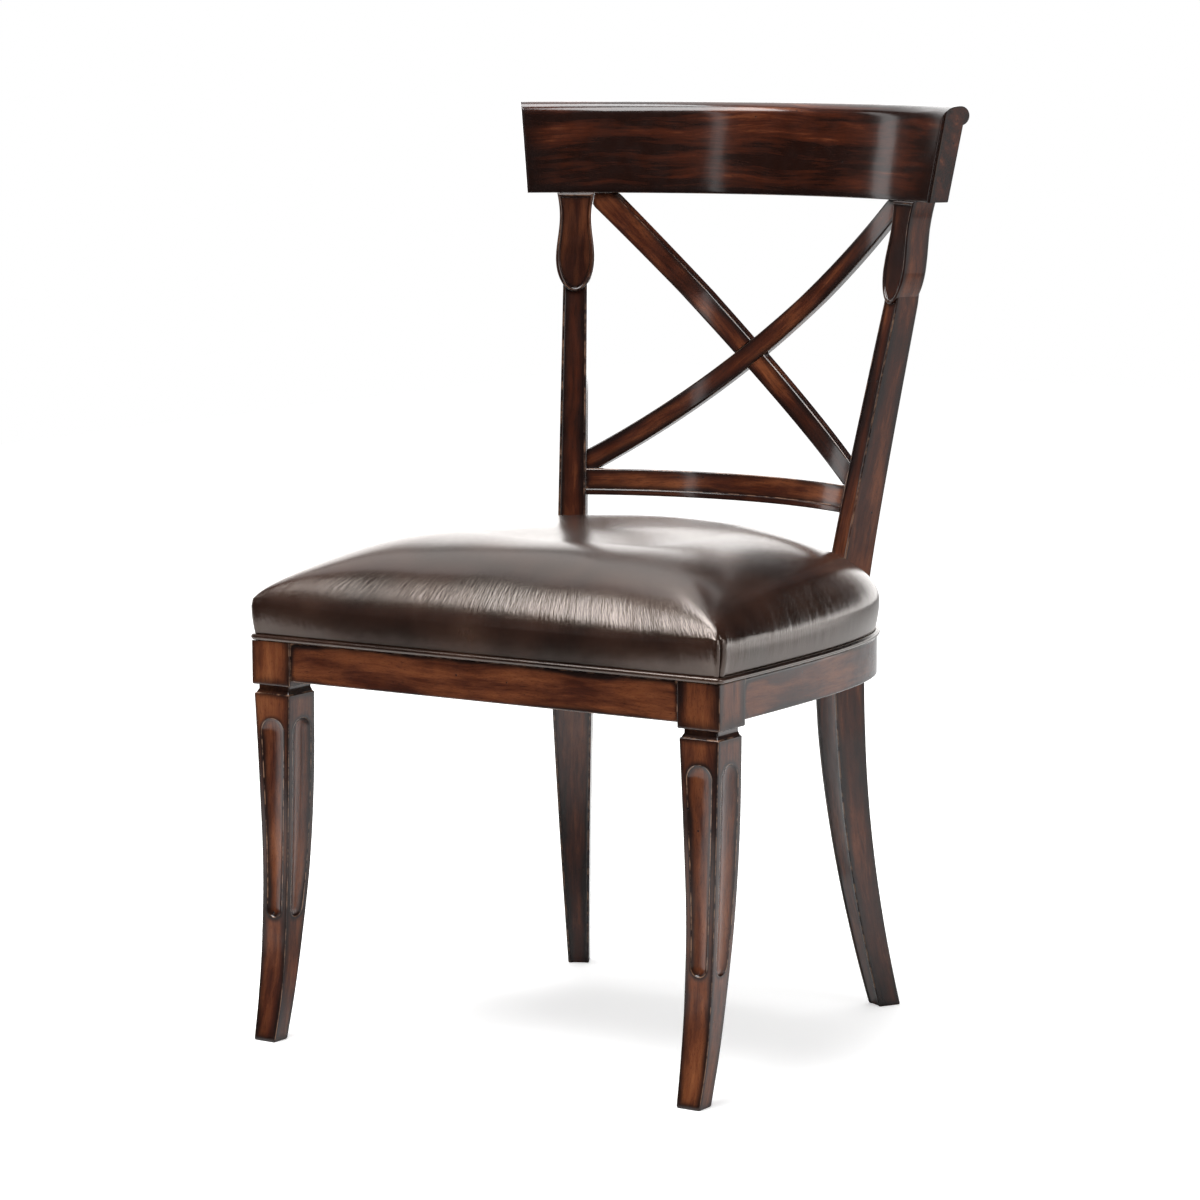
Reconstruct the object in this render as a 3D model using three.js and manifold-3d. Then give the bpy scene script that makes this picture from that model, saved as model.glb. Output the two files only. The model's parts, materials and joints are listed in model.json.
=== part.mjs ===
// Klismos dining chair: sabre front legs, raked rear legs that run on into the back posts, a
// horseshoe seat frame, two crossed back slats under a scrolled crest rail, and a crowned
// leather seat with piping. Millimetres, +Z up, and the chair faces -Y. The whole back is
// built round one upright line, the back axis: posts, slats and both back rails all lie on
// one surface of revolution about it. Until the last lines that axis is at X = Y = 0.
import * as THREE from "three";
import { mergeVertices } from "three/addons/utils/BufferGeometryUtils.js";
import Module from "manifold-3d";

const wasm = await Module();
wasm.setup();

// Shared by all pieces
const gap = 0.3;
const overrun = 4;
const arris = 1.2;
const up = new THREE.Vector3(0, 0, 1);

// Heights of the whole chair
const crestTop = 935;
const crestBoardHeight = 97;
const crestBottom = crestTop - crestBoardHeight;
const railTop = 406.5;
const railBottom = 367;

// Seat frame, measured from the back axis
const frameFront = 120.2;
const frameHalfWidth = 276.5;
const frameBackRadius = 350;
const railThickness = 25;
const railInset = 1.5;
const sideFrontHandle = 240;
const sideBackHandle = 76;
const sideSegments = 12;
const backSegments = 10;

// Front legs: a square block in the frame, a neck, and a leg that sweeps forward to the foot
const blockWidth = 47.4;
const blockDepth = 46.8;
const blockBottom = 361.7;
const neckInset = 4.8;
const neckTaper = 4.2;
const shoulderHeight = 353;
const shoulderInset = 1.7;
const frontSweep = 18.5;
const backSweep = 43.6;
const footEase = 2;
const sabreHeightShares = [0, 0.13, 0.28, 0.5, 0.75, 1];
const sabreFrontShares = [1, 0.443, 0.07, -0.168, -0.15, -0.054];
const sabreBackShares = [1, 0.73, 0.45, 0.124, 0.014, 0.067];
const sabreWidthShares = [0.6, 0.672, 0.695, 0.733, 0.859, 1];
const sabreSteps = 12;

// Flutes scooped into the front, outer and inner faces of the front legs
const fluteBottom = 124.5;
const fluteTop = 328;
const fluteMargin = 6.6;
const fluteDepth = 3;
const fluteSteps = 6;
const fluteEndSteps = 3;
const fluteTipAngle = THREE.MathUtils.degToRad(10);
const fluteRibs = 6;

// Rear legs and posts, in a plane through the back axis that turns this far from the middle
const rearSpreadShare = 0.6214;
const rearTurn = Math.asin((rearSpreadShare * frameHalfWidth) / frameBackRadius);
const waistSet = 30;
const waistRadius = frameBackRadius - waistSet;
const waistHeight = 365;
const rearFootKick = 62.5;
const legSweepPower = 1.78;
const postRake = 0.25;
const postEasing = 75;
const paddleHeight = 105;
const headHeight = crestBottom - paddleHeight;
const headRake = 0.165;
const footWidth = 22.8;
const footDrift = 2.4;
const kneeWidth = 42;
const kneeHeight = 290;
const footDepth = 25.4;
const waistDepth = 35.4;
const postFootWidth = 31;
const postHeadWidth = 26;
const postHeadDepth = 26;
const beadWidth = 3.6;
const beadDepth = 0.9;
const rearLegSteps = 11;
const postSteps = 8;

// Paddle at the head of each post
const paddleHalfWidth = 20.8;
const paddleNeckHalfWidth = 17;
const paddleTopHalfWidth = 20;
const paddleProud = 2.6;
const paddleDepth = 27.5;
const paddleWidestRise = 36;
const paddleNeckDrop = 26;
const paddleCurveSegments = 8;
const roundHandleShare = 0.5523;
const paddleRimWidth = 4.4;
const paddleGrooveWidth = 1.5;
const paddleGrooveDepth = 1;
const tenonHalfWidth = 11;
const tenonDepth = 11;
const tenonHeight = 32;

// Crest rail
const crestOverhang = THREE.MathUtils.degToRad(7.2);
const crestHalfAngle = rearTurn + crestOverhang;
const crestFlareShare = 0.022;
const crestFootThickness = 22.5;
const crestHeadThickness = 15.5;
const crestLead = 1.6;
const scrollRadius = 9.8;
const scrollLead = 3.15;
const crestShoulderDrop = 13;
const crestEndBevel = 3.4;
const crestSegments = 22;
const scrollSegments = 10;
const shoulderSegments = 4;

// Lower back rail
const lowerRailBottom = 519.4;
const lowerRailTop = 546.6;
const lowerRailThickness = 17;
const lowerRailLip = 5;
const lowerRailLipDepth = 1.4;
const lowerRailSegments = 14;

// Crossed slats
const slatWidth = 23;
const slatThickness = 12;
const slatSetBack = 5;
const crossHeightShare = 0.428;
const crossHeight = lowerRailTop + crossHeightShare * (crestBottom - lowerRailTop);
const slatLowBeyond = 14;
const slatHighBeyond = 34;
const postSpread = waistRadius * Math.sin(rearTurn);
const slatLowReach = postSpread + slatLowBeyond;
const slatHighReach = postSpread + slatHighBeyond;
const slatSlope = (crestBottom - lowerRailTop) / (slatLowReach + slatHighReach);
const slatBowRadius = 1000;
const slatEase = 2;
const slatSegments = 16;

// Glue blocks, dowels and screws inside the frame
const cornerBlockBottom = 372;
const cornerBlockTop = 402;
const frontBlockReach = 40;
const rearBlockHalfWidth = 60;
const rearBlockFaceHalfWidth = 30;
const rearBlockDepth = 36;
const rearBlockFront = frameBackRadius - railThickness - rearBlockDepth;
const rearBlockBack = rearBlockFront + rearBlockDepth + railThickness / 2;
const dowelRadius = 4;
const dowelReach = 17;
const dowelSpread = 17;
const dowelSides = 10;
const screwShankRadius = 2;
const screwHeadRadius = 4;
const screwHeadHeight = 3;
const screwTaper = 5;
const screwLength = 27;
const screwSides = 8;
const screwSeatDepth = 10;
const frontScrewInset = 24;
const rearScrewSpread = 38;
const seatScrewBite = 9;
const seatScrewInset = 10;

// Seat: board, pad, leather cover, piping and dust cover
const boardThickness = 12;
const boardInset = 6.2;
const postNotch = 1.2;
const notchSteps = 3;
const pipingRadius = 3;
const pipingProud = 2.4;
const pipingSides = 8;
const leather = 1.6;
const cornerRadius = 5;
const cornerSegments = 3;
const frontSegments = 10;
const wallHeight = 35;
const wallBulge = 3;
const crownHeight = 68;
const domeHeight = 4;
const crownShare = 0.52;
const cornerEaseShare = 0.45;
const cornerReach = 75;
const cornerLift = 5;
const cornerStraightShare = 0.8;
const wallRings = 3;
const crownRings = 6;
const dustCoverThickness = 0.6;
const dustCoverInset = 6;

// A smooth function of height through the given knots, by cubic Hermite spans
function smooth(heights, values) {
  const slopes = heights.map((_, i) => {
    const before = Math.max(i - 1, 0);
    const after = Math.min(i + 1, heights.length - 1);
    return (values[after] - values[before]) / (heights[after] - heights[before]);
  });
  return (height) => {
    const next = heights.findIndex((knot) => knot >= height);
    const i = Math.max(next < 0 ? heights.length - 2 : next - 1, 0);
    const span = heights[i + 1] - heights[i];
    const t = (height - heights[i]) / span;
    const rise = t * t * (3 - 2 * t);
    const lean = span * t * (1 - t) * (slopes[i] * (1 - t) - slopes[i + 1] * t);
    return values[i] + (values[i + 1] - values[i]) * rise + lean;
  };
}

// Evenly spread numbers from start to end, both included
function spread(start, end, steps) {
  return Array.from({ length: steps + 1 }, (_, i) => start + ((end - start) * i) / steps);
}

function mix(from, to, share) {
  return from + (to - from) * share;
}

// Turns the faces outwards if the enclosed volume comes out negative
function outward(geometry) {
  const points = geometry.attributes.position;
  const index = geometry.index.array;
  const corners = [new THREE.Vector3(), new THREE.Vector3(), new THREE.Vector3()];
  let volume = 0;
  for (let i = 0; i < index.length; i += 3) {
    corners.forEach((corner, k) => corner.fromBufferAttribute(points, index[i + k]));
    volume += corners[0].dot(corners[1].cross(corners[2]));
  }
  if (volume < 0) {
    for (let i = 0; i < index.length; i += 3) {
      [index[i], index[i + 1]] = [index[i + 1], index[i]];
    }
  }
  return geometry;
}

// A solid through rings of equally many points, closed by a fan at each end, or end to end
function loft(rings, endless = false) {
  const count = rings[0].length;
  const points = rings.flat();
  const index = [];
  const spans = endless ? rings.length : rings.length - 1;
  for (let r = 0; r < spans; r += 1) {
    const low = r * count;
    const high = ((r + 1) % rings.length) * count;
    for (let i = 0; i < count; i += 1) {
      const j = (i + 1) % count;
      index.push(low + i, low + j, high + j, low + i, high + j, high + i);
    }
  }
  if (!endless) {
    for (const [ring, flip] of [[0, true], [rings.length - 1, false]]) {
      const middle = new THREE.Vector3();
      rings[ring].forEach((point) => middle.addScaledVector(point, 1 / count));
      const hub = points.push(middle) - 1;
      for (let i = 0; i < count; i += 1) {
        const a = ring * count + i;
        const b = ring * count + ((i + 1) % count);
        index.push(...(flip ? [hub, b, a] : [hub, a, b]));
      }
    }
  }
  const geometry = new THREE.BufferGeometry().setFromPoints(points);
  geometry.setIndex(index);
  return outward(geometry);
}

// A flat outline in X and Y, carried straight up, with a small bevel where one is given
function prism(outline, bottom, top, bevel = 0) {
  const geometry = new THREE.ExtrudeGeometry(new THREE.Shape(outline), {
    depth: top - bottom - 2 * bevel,
    bevelEnabled: bevel > 0,
    bevelThickness: bevel,
    bevelSize: bevel,
    bevelOffset: -bevel,
    bevelSegments: 1,
  });
  return geometry.translate(0, 0, bottom + bevel);
}

// A round rod between two points
function rod(start, end, radius, sides) {
  const along = new THREE.Vector3().subVectors(end, start);
  const geometry = new THREE.CylinderGeometry(radius, radius, along.length(), sides);
  const turn = new THREE.Quaternion().setFromUnitVectors(
    new THREE.Vector3(0, 1, 0),
    along.clone().normalize(),
  );
  return geometry.applyQuaternion(turn).translate(
    (start.x + end.x) / 2,
    (start.y + end.y) / 2,
    (start.z + end.z) / 2,
  );
}

function toSolid(geometry) {
  const bare = geometry.clone();
  bare.deleteAttribute("normal");
  bare.deleteAttribute("uv");
  const merged = mergeVertices(bare);
  return new wasm.Manifold(new wasm.Mesh({
    numProp: 3,
    vertProperties: new Float32Array(merged.attributes.position.array),
    triVerts: new Uint32Array(merged.index.array),
  }));
}

function toGeometry(solid) {
  const mesh = solid.getMesh();
  const geometry = new THREE.BufferGeometry();
  geometry.setAttribute("position", new THREE.BufferAttribute(mesh.vertProperties, 3));
  geometry.setIndex(new THREE.BufferAttribute(mesh.triVerts, 1));
  return geometry;
}

function cut(geometry, ...tools) {
  return tools.reduce((left, tool) => toGeometry(toSolid(left).subtract(toSolid(tool))), geometry);
}

function join(geometry, other) {
  return toGeometry(toSolid(geometry).add(toSolid(other)));
}

function common(geometry, other) {
  return toGeometry(toSolid(geometry).intersect(toSolid(other)));
}

// The same piece for the other side of the chair
function mirrored(geometry) {
  const other = geometry.index ? geometry.clone() : mergeVertices(bareCopy(geometry));
  other.scale(-1, 1, 1);
  return outward(other);
}

function bareCopy(geometry) {
  const bare = geometry.clone();
  bare.deleteAttribute("normal");
  bare.deleteAttribute("uv");
  return bare;
}

// Front face of the back: its distance from the back axis at a height
function backRadius(height) {
  if (height < waistHeight) {
    const drop = (waistHeight - height) / waistHeight;
    return waistRadius + rearFootKick * drop ** legSweepPower;
  }
  const rise = Math.min(height, headHeight) - waistHeight;
  const straight = postRake * (Math.hypot(rise, postEasing) - postEasing);
  return waistRadius + straight + headRake * Math.max(height - headHeight, 0);
}

// A point on the back, from its angle off the middle, its radius and its height
function aroundBack(angle, radius, height) {
  return new THREE.Vector3(radius * Math.sin(angle), radius * Math.cos(angle), height);
}

// The angle at which a circle about the back axis meets the side of a rear leg
function legSideAngle(radius, halfWidth) {
  return rearTurn - Math.asin(halfWidth / radius);
}

// Materials
const woodColour = 0x3a1c10;
const wood = (roughness) => new THREE.MeshStandardMaterial({ color: woodColour, roughness, metalness: 0 });
const plainWood = new THREE.MeshStandardMaterial({ color: 0xb88a5a, roughness: 0.8, metalness: 0 });
const hide = new THREE.MeshStandardMaterial({ color: 0x2c1a15, roughness: 0.35, metalness: 0 });
const foam = new THREE.MeshStandardMaterial({ color: 0xe2d6a8, roughness: 1, metalness: 0 });
const cloth = new THREE.MeshStandardMaterial({ color: 0x141414, roughness: 1, metalness: 0 });
const steel = new THREE.MeshStandardMaterial({ color: 0x9a9a96, roughness: 0.4, metalness: 0.9 });

// Groups: the chair, its upholstery, and one turned or moved group for each leg
const chair = new THREE.Group();
const frames = {};
for (const [side, sign] of [["right", 1], ["left", -1]]) {
  const rear = new THREE.Group();
  rear.rotation.z = -sign * rearTurn;
  const front = new THREE.Group();
  front.position.set(sign * (frameHalfWidth - blockWidth / 2), blockDepth / 2 - frameFront, 0);
  frames[`rear_${side}`] = rear;
  frames[`front_${side}`] = front;
  chair.add(rear, front);
}
frames.seat = new THREE.Group();
frames.seat.position.z = railTop;
frames.middle = new THREE.Group();
chair.add(frames.seat, frames.middle);
chair.updateMatrixWorld(true);

// Adds a piece that was made in the chair's own coordinates to one of the groups
function addPiece(name, geometry, material, frame = frames.middle) {
  const local = geometry.clone().applyMatrix4(frame.matrix.clone().invert());
  const mesh = new THREE.Mesh(local, material);
  mesh.name = name;
  frame.add(mesh);
}

function addPair(name, geometry, material, corner) {
  addPiece(`${name}_right`, geometry, material, frames[`${corner}_right`] ?? frames[corner]);
  addPiece(`${name}_left`, mirrored(geometry), material, frames[`${corner}_left`] ?? frames[corner]);
}

const inRearFrame = (geometry) => geometry.applyMatrix4(frames.rear_right.matrix);
const rearPoint = (x, y, z) => new THREE.Vector3(x, y, z).applyMatrix4(frames.rear_right.matrix);

// Front legs
const blockMiddleX = frameHalfWidth - blockWidth / 2;
const sabreHeights = sabreHeightShares.map((share) => share * shoulderHeight);
const sabreFront = smooth(sabreHeights, sabreFrontShares.map((share) => share * frontSweep));
const sabreBack = smooth(sabreHeights, sabreBackShares.map((share) => share * backSweep));
const shoulderWidth = blockWidth - 2 * shoulderInset;
const sabreWidth = smooth(sabreHeights, sabreWidthShares.map((share) => share * shoulderWidth));

// A rectangle with eased corners, from its middle line, half width, front and back
function easedRectangle(middleX, halfWidth, front, back, ease, height) {
  return [
    [-halfWidth, front + ease],
    [-halfWidth + ease, front],
    [halfWidth - ease, front],
    [halfWidth, front + ease],
    [halfWidth, back - ease],
    [halfWidth - ease, back],
    [-halfWidth + ease, back],
    [-halfWidth, back - ease],
  ].map(([x, y]) => new THREE.Vector3(middleX + x, y, height));
}

function sabreSides(height) {
  return {
    halfWidth: sabreWidth(height) / 2,
    front: -frameFront - sabreFront(height),
    back: blockDepth - frameFront - sabreBack(height),
  };
}

function sabreRing(height, inset) {
  const { halfWidth, front, back } = sabreSides(height);
  return easedRectangle(blockMiddleX, halfWidth - inset, front + inset, back - inset, arris, height);
}

function blockRing(height, inset) {
  const back = blockDepth - frameFront - inset;
  return easedRectangle(blockMiddleX, blockWidth / 2 - inset, inset - frameFront, back, arris, height);
}

// One flute: a scoop along the leg on the face that looks the given way, with rounded ends
function flute(face) {
  const halfWidthAt = (height) => {
    const { halfWidth, front, back } = sabreSides(height);
    return (face === "front" ? halfWidth : (back - front) / 2) - fluteMargin;
  };
  const lowEnd = halfWidthAt(fluteBottom);
  const highEnd = halfWidthAt(fluteTop);
  const turns = spread(fluteTipAngle, Math.PI / 2, fluteEndSteps);
  const stations = [
    ...turns.map((turn) => [fluteBottom + lowEnd * (1 - Math.cos(turn)), Math.sin(turn)]),
    ...spread(fluteBottom + lowEnd, fluteTop - highEnd, fluteSteps).slice(1, -1).map((z) => [z, 1]),
    ...turns.reverse().map((turn) => [fluteTop - highEnd * (1 - Math.cos(turn)), Math.sin(turn)]),
  ];
  return loft(stations.map(([height, roundness]) => {
    const { halfWidth, front, back } = sabreSides(height);
    const reach = halfWidthAt(height) * roundness;
    const scoop = spread(-1, 1, fluteRibs).map((share) => (
      [share * reach, fluteDepth * roundness * (1 - share * share)]
    ));
    return [[-reach, -overrun], ...scoop, [reach, -overrun]].map(([aside, inwards]) => {
      if (face === "front") {
        return new THREE.Vector3(blockMiddleX + aside, front + inwards, height);
      }
      const sign = face === "outer" ? 1 : -1;
      const x = blockMiddleX + sign * (halfWidth - inwards);
      return new THREE.Vector3(x, (front + back) / 2 + aside, height);
    });
  }));
}

// Dowels of the front joints, from the block into the front rail and into the side rail
const dowelHeights = [-1, 1].map((sign) => (railTop + railBottom) / 2 + (sign * dowelSpread) / 2);
const frontRailMiddleY = railInset - frameFront + railThickness / 2;
const blockInnerX = frameHalfWidth - blockWidth;
const blockBackY = blockDepth - frameFront;
const sideRailX = frameHalfWidth - railInset;
const frontDowels = [];
const sideDowels = [];
const rearSideDowels = [];
const rearBackDowels = [];
const railMiddleRadius = frameBackRadius - railThickness / 2;
for (const z of dowelHeights) {
  frontDowels.push([
    new THREE.Vector3(blockInnerX - dowelReach, frontRailMiddleY, z),
    new THREE.Vector3(blockInnerX + dowelReach, frontRailMiddleY, z),
  ]);
  const sideX = sideRailX - railThickness / 2;
  sideDowels.push([
    new THREE.Vector3(sideX, blockBackY - dowelReach, z),
    new THREE.Vector3(sideX, blockBackY + dowelReach, z),
  ]);
  const legSide = kneeWidth / 2;
  rearSideDowels.push([
    rearPoint(legSide - dowelReach, railMiddleRadius, z),
    rearPoint(legSide + dowelReach, railMiddleRadius, z),
  ]);
  rearBackDowels.push([
    rearPoint(-legSide + dowelReach, railMiddleRadius, z),
    rearPoint(-legSide - dowelReach, railMiddleRadius, z),
  ]);
}

const dowel = ([start, end]) => rod(start, end, dowelRadius, dowelSides);
// The hole that a dowel sits in: wider by the gap, and longer by it at both ends
function dowelHole([start, end]) {
  const along = new THREE.Vector3().subVectors(end, start).setLength(gap);
  const far = end.clone().add(along);
  return rod(start.clone().sub(along), far, dowelRadius + 2 * gap, dowelSides);
}

const frontLegRings = [
  sabreRing(0, footEase),
  ...spread(footEase, shoulderHeight, sabreSteps).map((height) => sabreRing(height, 0)),
  blockRing(shoulderHeight + neckTaper, neckInset),
  blockRing(blockBottom, neckInset),
  blockRing(blockBottom, arris),
  blockRing(blockBottom + arris, 0),
  blockRing(railTop, 0),
];
const frontLeg = cut(
  loft(frontLegRings),
  ...["front", "outer", "inner"].map(flute),
  ...[...frontDowels, ...sideDowels].map(dowelHole),
);
addPair("front_leg", frontLeg, wood(0.3), "front");

// Rear legs: the leg, the part inside the frame and the post are one bent piece
function rearSection(halfWidth, front, depth, height) {
  const bead = beadWidth + beadDepth;
  const back = front + depth;
  return [
    [-halfWidth, front + arris],
    [-halfWidth + arris, front],
    [-halfWidth + beadWidth, front],
    [-halfWidth + bead, front + beadDepth],
    [halfWidth - bead, front + beadDepth],
    [halfWidth - beadWidth, front],
    [halfWidth - arris, front],
    [halfWidth, front + arris],
    [halfWidth, back - arris],
    [halfWidth - arris, back],
    [-halfWidth + arris, back],
    [-halfWidth, back - arris],
  ].map(([x, y]) => new THREE.Vector3(x - legDrift(height), y, height));
}

// The leg leans a little towards the middle of the chair below the seat frame
function legDrift(height) {
  return footDrift * Math.max(1 - height / waistHeight, 0);
}

// The grown copy, larger by the clearance all round, is what cuts the neighbouring pieces
function rearRing(height, width, depth, grow) {
  return rearSection(width / 2 + grow, backRadius(height) - grow, depth + 2 * grow, height);
}

const legWidth = (height) => mix(footWidth, kneeWidth, Math.min(height / kneeHeight, 1));
const legDepth = (height) => mix(footDepth, waistDepth, Math.min(height / waistHeight, 1));
const postShare = (height) => (height - railTop) / (headHeight - railTop);
const postWidth = (height) => mix(postFootWidth, postHeadWidth, postShare(height));
const postDepth = (height) => mix(waistDepth, postHeadDepth, postShare(height));

function paddleOutline(grow) {
  const top = crestBottom - gap + grow;
  const tip = headHeight - grow;
  const widest = headHeight + paddleWidestRise;
  const neck = crestBottom - paddleNeckDrop;
  const half = new THREE.Path();
  const rise = widest - tip;
  const belly = paddleHalfWidth + grow;
  const waist = paddleNeckHalfWidth + grow;
  half.moveTo(0, tip);
  half.bezierCurveTo(
    belly * roundHandleShare,
    tip,
    belly,
    widest - rise * roundHandleShare,
    belly,
    widest,
  );
  const halfway = (widest + neck) / 2;
  half.bezierCurveTo(belly, halfway, waist, halfway, waist, neck);
  half.quadraticCurveTo(waist, (neck + top) / 2, paddleTopHalfWidth + grow, top);
  const right = half.getPoints(paddleCurveSegments);
  const left = right.slice(1).reverse().map((point) => new THREE.Vector2(-point.x, point.y));
  return [...right, ...left];
}

// Stands an outline in X and Z up against the head of the post, and leans it back with it
function standAgainstPost(outline, front, back, bevel) {
  const geometry = prism(outline, 0, back - front, bevel).rotateX(Math.PI / 2).scale(1, -1, 1);
  const lean = new THREE.Matrix4().makeShear(0, 0, 0, 0, 0, headRake);
  const start = backRadius(headHeight) - headRake * headHeight + front;
  return outward(mergeVertices(bareCopy(geometry))).applyMatrix4(lean).translate(0, start, 0);
}

function paddleGroove() {
  const outline = paddleOutline(0);
  const middleHeight = (headHeight + crestBottom) / 2;
  const drawIn = (inset) => outline.map((point) => new THREE.Vector2(
    point.x * (1 - inset / paddleHalfWidth),
    middleHeight + (point.y - middleHeight) * (1 - (2 * inset) / (crestBottom - headHeight)),
  ));
  const floor = paddleGrooveDepth - paddleProud;
  const outer = standAgainstPost(drawIn(paddleRimWidth), -overrun - paddleProud, floor, 0);
  const inner = standAgainstPost(
    drawIn(paddleRimWidth + paddleGrooveWidth),
    -2 * overrun - paddleProud,
    floor + overrun,
    0,
  );
  return cut(outer, inner);
}

// The tenon on the post's head, and with the gap added the mortise in the crest rail
function postTenon(grow) {
  const middle = paddleDepth / 2 - paddleProud;
  const rings = [crestBottom - overrun, crestBottom + tenonHeight + grow].map((height) => {
    const radius = backRadius(height) + middle;
    const half = tenonDepth / 2 + grow;
    return easedRectangle(0, tenonHalfWidth + grow, radius - half, radius + half, arris, height);
  });
  return loft(rings);
}

function rearLeg(grow) {
  const rings = [
    rearRing(0, footWidth - footEase, footDepth - footEase, grow),
    ...spread(footEase, railTop, rearLegSteps).map((height) => (
      rearRing(height, legWidth(height), legDepth(height), grow)
    )),
    ...spread(railTop, headHeight + paddleWidestRise, postSteps).map((height) => (
      rearRing(height, postWidth(height), postDepth(height), grow)
    )),
  ];
  const paddle = standAgainstPost(
    paddleOutline(grow),
    -paddleProud - grow,
    paddleDepth - paddleProud + grow,
    grow > 0 ? 0 : arris,
  );
  const leg = join(loft(rings), paddle);
  return grow > 0 ? leg : join(cut(leg, paddleGroove()), postTenon(0));
}

const rearLegGrown = inRearFrame(rearLeg(gap));
const rearLegSolid = cut(
  inRearFrame(rearLeg(0)),
  ...[...rearSideDowels, ...rearBackDowels].map(dowelHole),
);
addPair("rear_leg", rearLegSolid, wood(0.3), "rear");

// Seat frame: the side rail's outer face runs back along a cubic curve to the rear leg
const legFaceX = kneeWidth / 2 + gap;
const sideEnd = rearPoint(legFaceX, frameBackRadius, 0);
const sideEndAlong = rearPoint(1, 0, 0);
const sideCurve = new THREE.CubicBezierCurve(
  new THREE.Vector2(sideRailX, blockBackY + gap),
  new THREE.Vector2(sideRailX, blockBackY + sideFrontHandle),
  new THREE.Vector2(
    sideEnd.x + sideEndAlong.x * sideBackHandle,
    sideEnd.y + sideEndAlong.y * sideBackHandle,
  ),
  new THREE.Vector2(sideEnd.x, sideEnd.y),
);

// The side curve moved inwards by a distance, and carried on a little beyond both its ends
function sideLine(inset, beyond = 0) {
  return spread(0, 1, sideSegments).map((share) => {
    const point = sideCurve.getPoint(share);
    const along = sideCurve.getTangent(share);
    const inwards = new THREE.Vector2(-along.y, along.x);
    const reach = Math.floor(share) * beyond - Math.floor(1 - share) * beyond;
    return point.addScaledVector(inwards, inset).addScaledVector(along, reach);
  });
}

// A stretch of circle about the back axis between two angles
function backLine(radius, start, end, segments = backSegments) {
  return spread(start, end, segments).map((angle) => (
    new THREE.Vector2(radius * Math.sin(angle), radius * Math.cos(angle))
  ));
}

// Grown outlines, for cutting neighbours, reach a little into the legs at their ends
const sideRailOutline = (grow) => [
  ...sideLine(-grow, grow),
  ...sideLine(railThickness + grow, grow).reverse(),
];
const backRailOutline = (grow) => {
  const outer = frameBackRadius + grow;
  const inner = frameBackRadius - railThickness - grow;
  const outerAngle = legSideAngle(outer, legFaceX - grow);
  const innerAngle = legSideAngle(inner, legFaceX - grow);
  return [
    ...backLine(outer, -outerAngle, outerAngle),
    ...backLine(inner, innerAngle, -innerAngle),
  ];
};
const frontRailOutline = (grow) => {
  const halfLength = blockInnerX - gap;
  const front = railInset - frameFront - grow;
  const back = railInset - frameFront + railThickness + grow;
  return [
    new THREE.Vector2(-halfLength, front),
    new THREE.Vector2(halfLength, front),
    new THREE.Vector2(halfLength, back),
    new THREE.Vector2(-halfLength, back),
  ];
};

// Screws: a round head under the seat of a counterbore, and a shank that tapers to its point
function screw(seat, direction, length) {
  const profile = [
    [0, -screwHeadHeight],
    [screwHeadRadius / 2, -screwHeadHeight],
    [screwHeadRadius, -screwHeadHeight / 2],
    [screwHeadRadius, -gap],
    [screwShankRadius, -gap],
    [screwShankRadius, length - screwTaper],
    [0, length],
  ].map(([radius, along]) => new THREE.Vector2(radius, along));
  const geometry = new THREE.LatheGeometry(profile, screwSides);
  const turn = new THREE.Quaternion().setFromUnitVectors(new THREE.Vector3(0, 1, 0), direction);
  geometry.applyQuaternion(turn).translate(seat.x, seat.y, seat.z);
  return outward(mergeVertices(bareCopy(geometry)));
}

function screwHole(seat, direction, length) {
  const start = seat.clone().addScaledVector(direction, -screwHeadHeight);
  const end = seat.clone().addScaledVector(direction, length + gap);
  return rod(start, end, screwShankRadius + gap, screwSides);
}

function counterbore(seat, direction) {
  const mouth = seat.clone().addScaledVector(direction, -railThickness);
  return rod(mouth, seat, screwHeadRadius + 2 * gap, screwSides);
}

// Where each corner block's screws sit: the flat their heads rest on, and the way they point
const screwHeight = (cornerBlockBottom + cornerBlockTop) / 2;
const frontRailBackY = railInset - frameFront + railThickness;
const sideRailInnerX = sideRailX - railThickness;
const radialWay = new THREE.Vector3(0, 1, 0).applyMatrix4(frames.rear_right.matrix);
const rearSeatY = frameBackRadius - railThickness - screwSeatDepth - gap;
const blockScrews = {
  front: [
    {
      seat: new THREE.Vector3(blockInnerX - frontScrewInset, frontRailBackY + screwSeatDepth, screwHeight),
      way: new THREE.Vector3(0, -1, 0),
    },
    {
      seat: new THREE.Vector3(sideRailInnerX - screwSeatDepth, blockBackY + frontScrewInset, screwHeight),
      way: new THREE.Vector3(1, 0, 0),
    },
  ],
  rear: [-1, 1].map((sign) => ({
    seat: rearPoint(sign * rearScrewSpread, rearSeatY, screwHeight),
    way: radialWay,
  })),
};
const seatScrews = {
  front: new THREE.Vector3(blockInnerX - seatScrewInset, blockBackY, cornerBlockBottom - gap),
  rear: rearPoint(0, (rearBlockFront + waistRadius) / 2, cornerBlockBottom - gap),
};
const boardBottom = railTop + gap;
const seatScrewLength = boardBottom + seatScrewBite - cornerBlockBottom;
const allScrewHoles = [...blockScrews.front, ...blockScrews.rear].map(({ seat, way }) => (
  screwHole(seat, way, screwLength)
));
const seatScrewHoles = [seatScrews.front, seatScrews.rear].map((seat) => (
  screwHole(seat, up, seatScrewLength)
));

const sideRail = cut(
  prism(sideRailOutline(0), railBottom, railTop, arris),
  ...[...sideDowels, ...rearSideDowels].map(dowelHole),
  allScrewHoles[1],
  allScrewHoles[3],
);
addPair("side_seat_rail", sideRail, wood(0.28), "middle");

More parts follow.
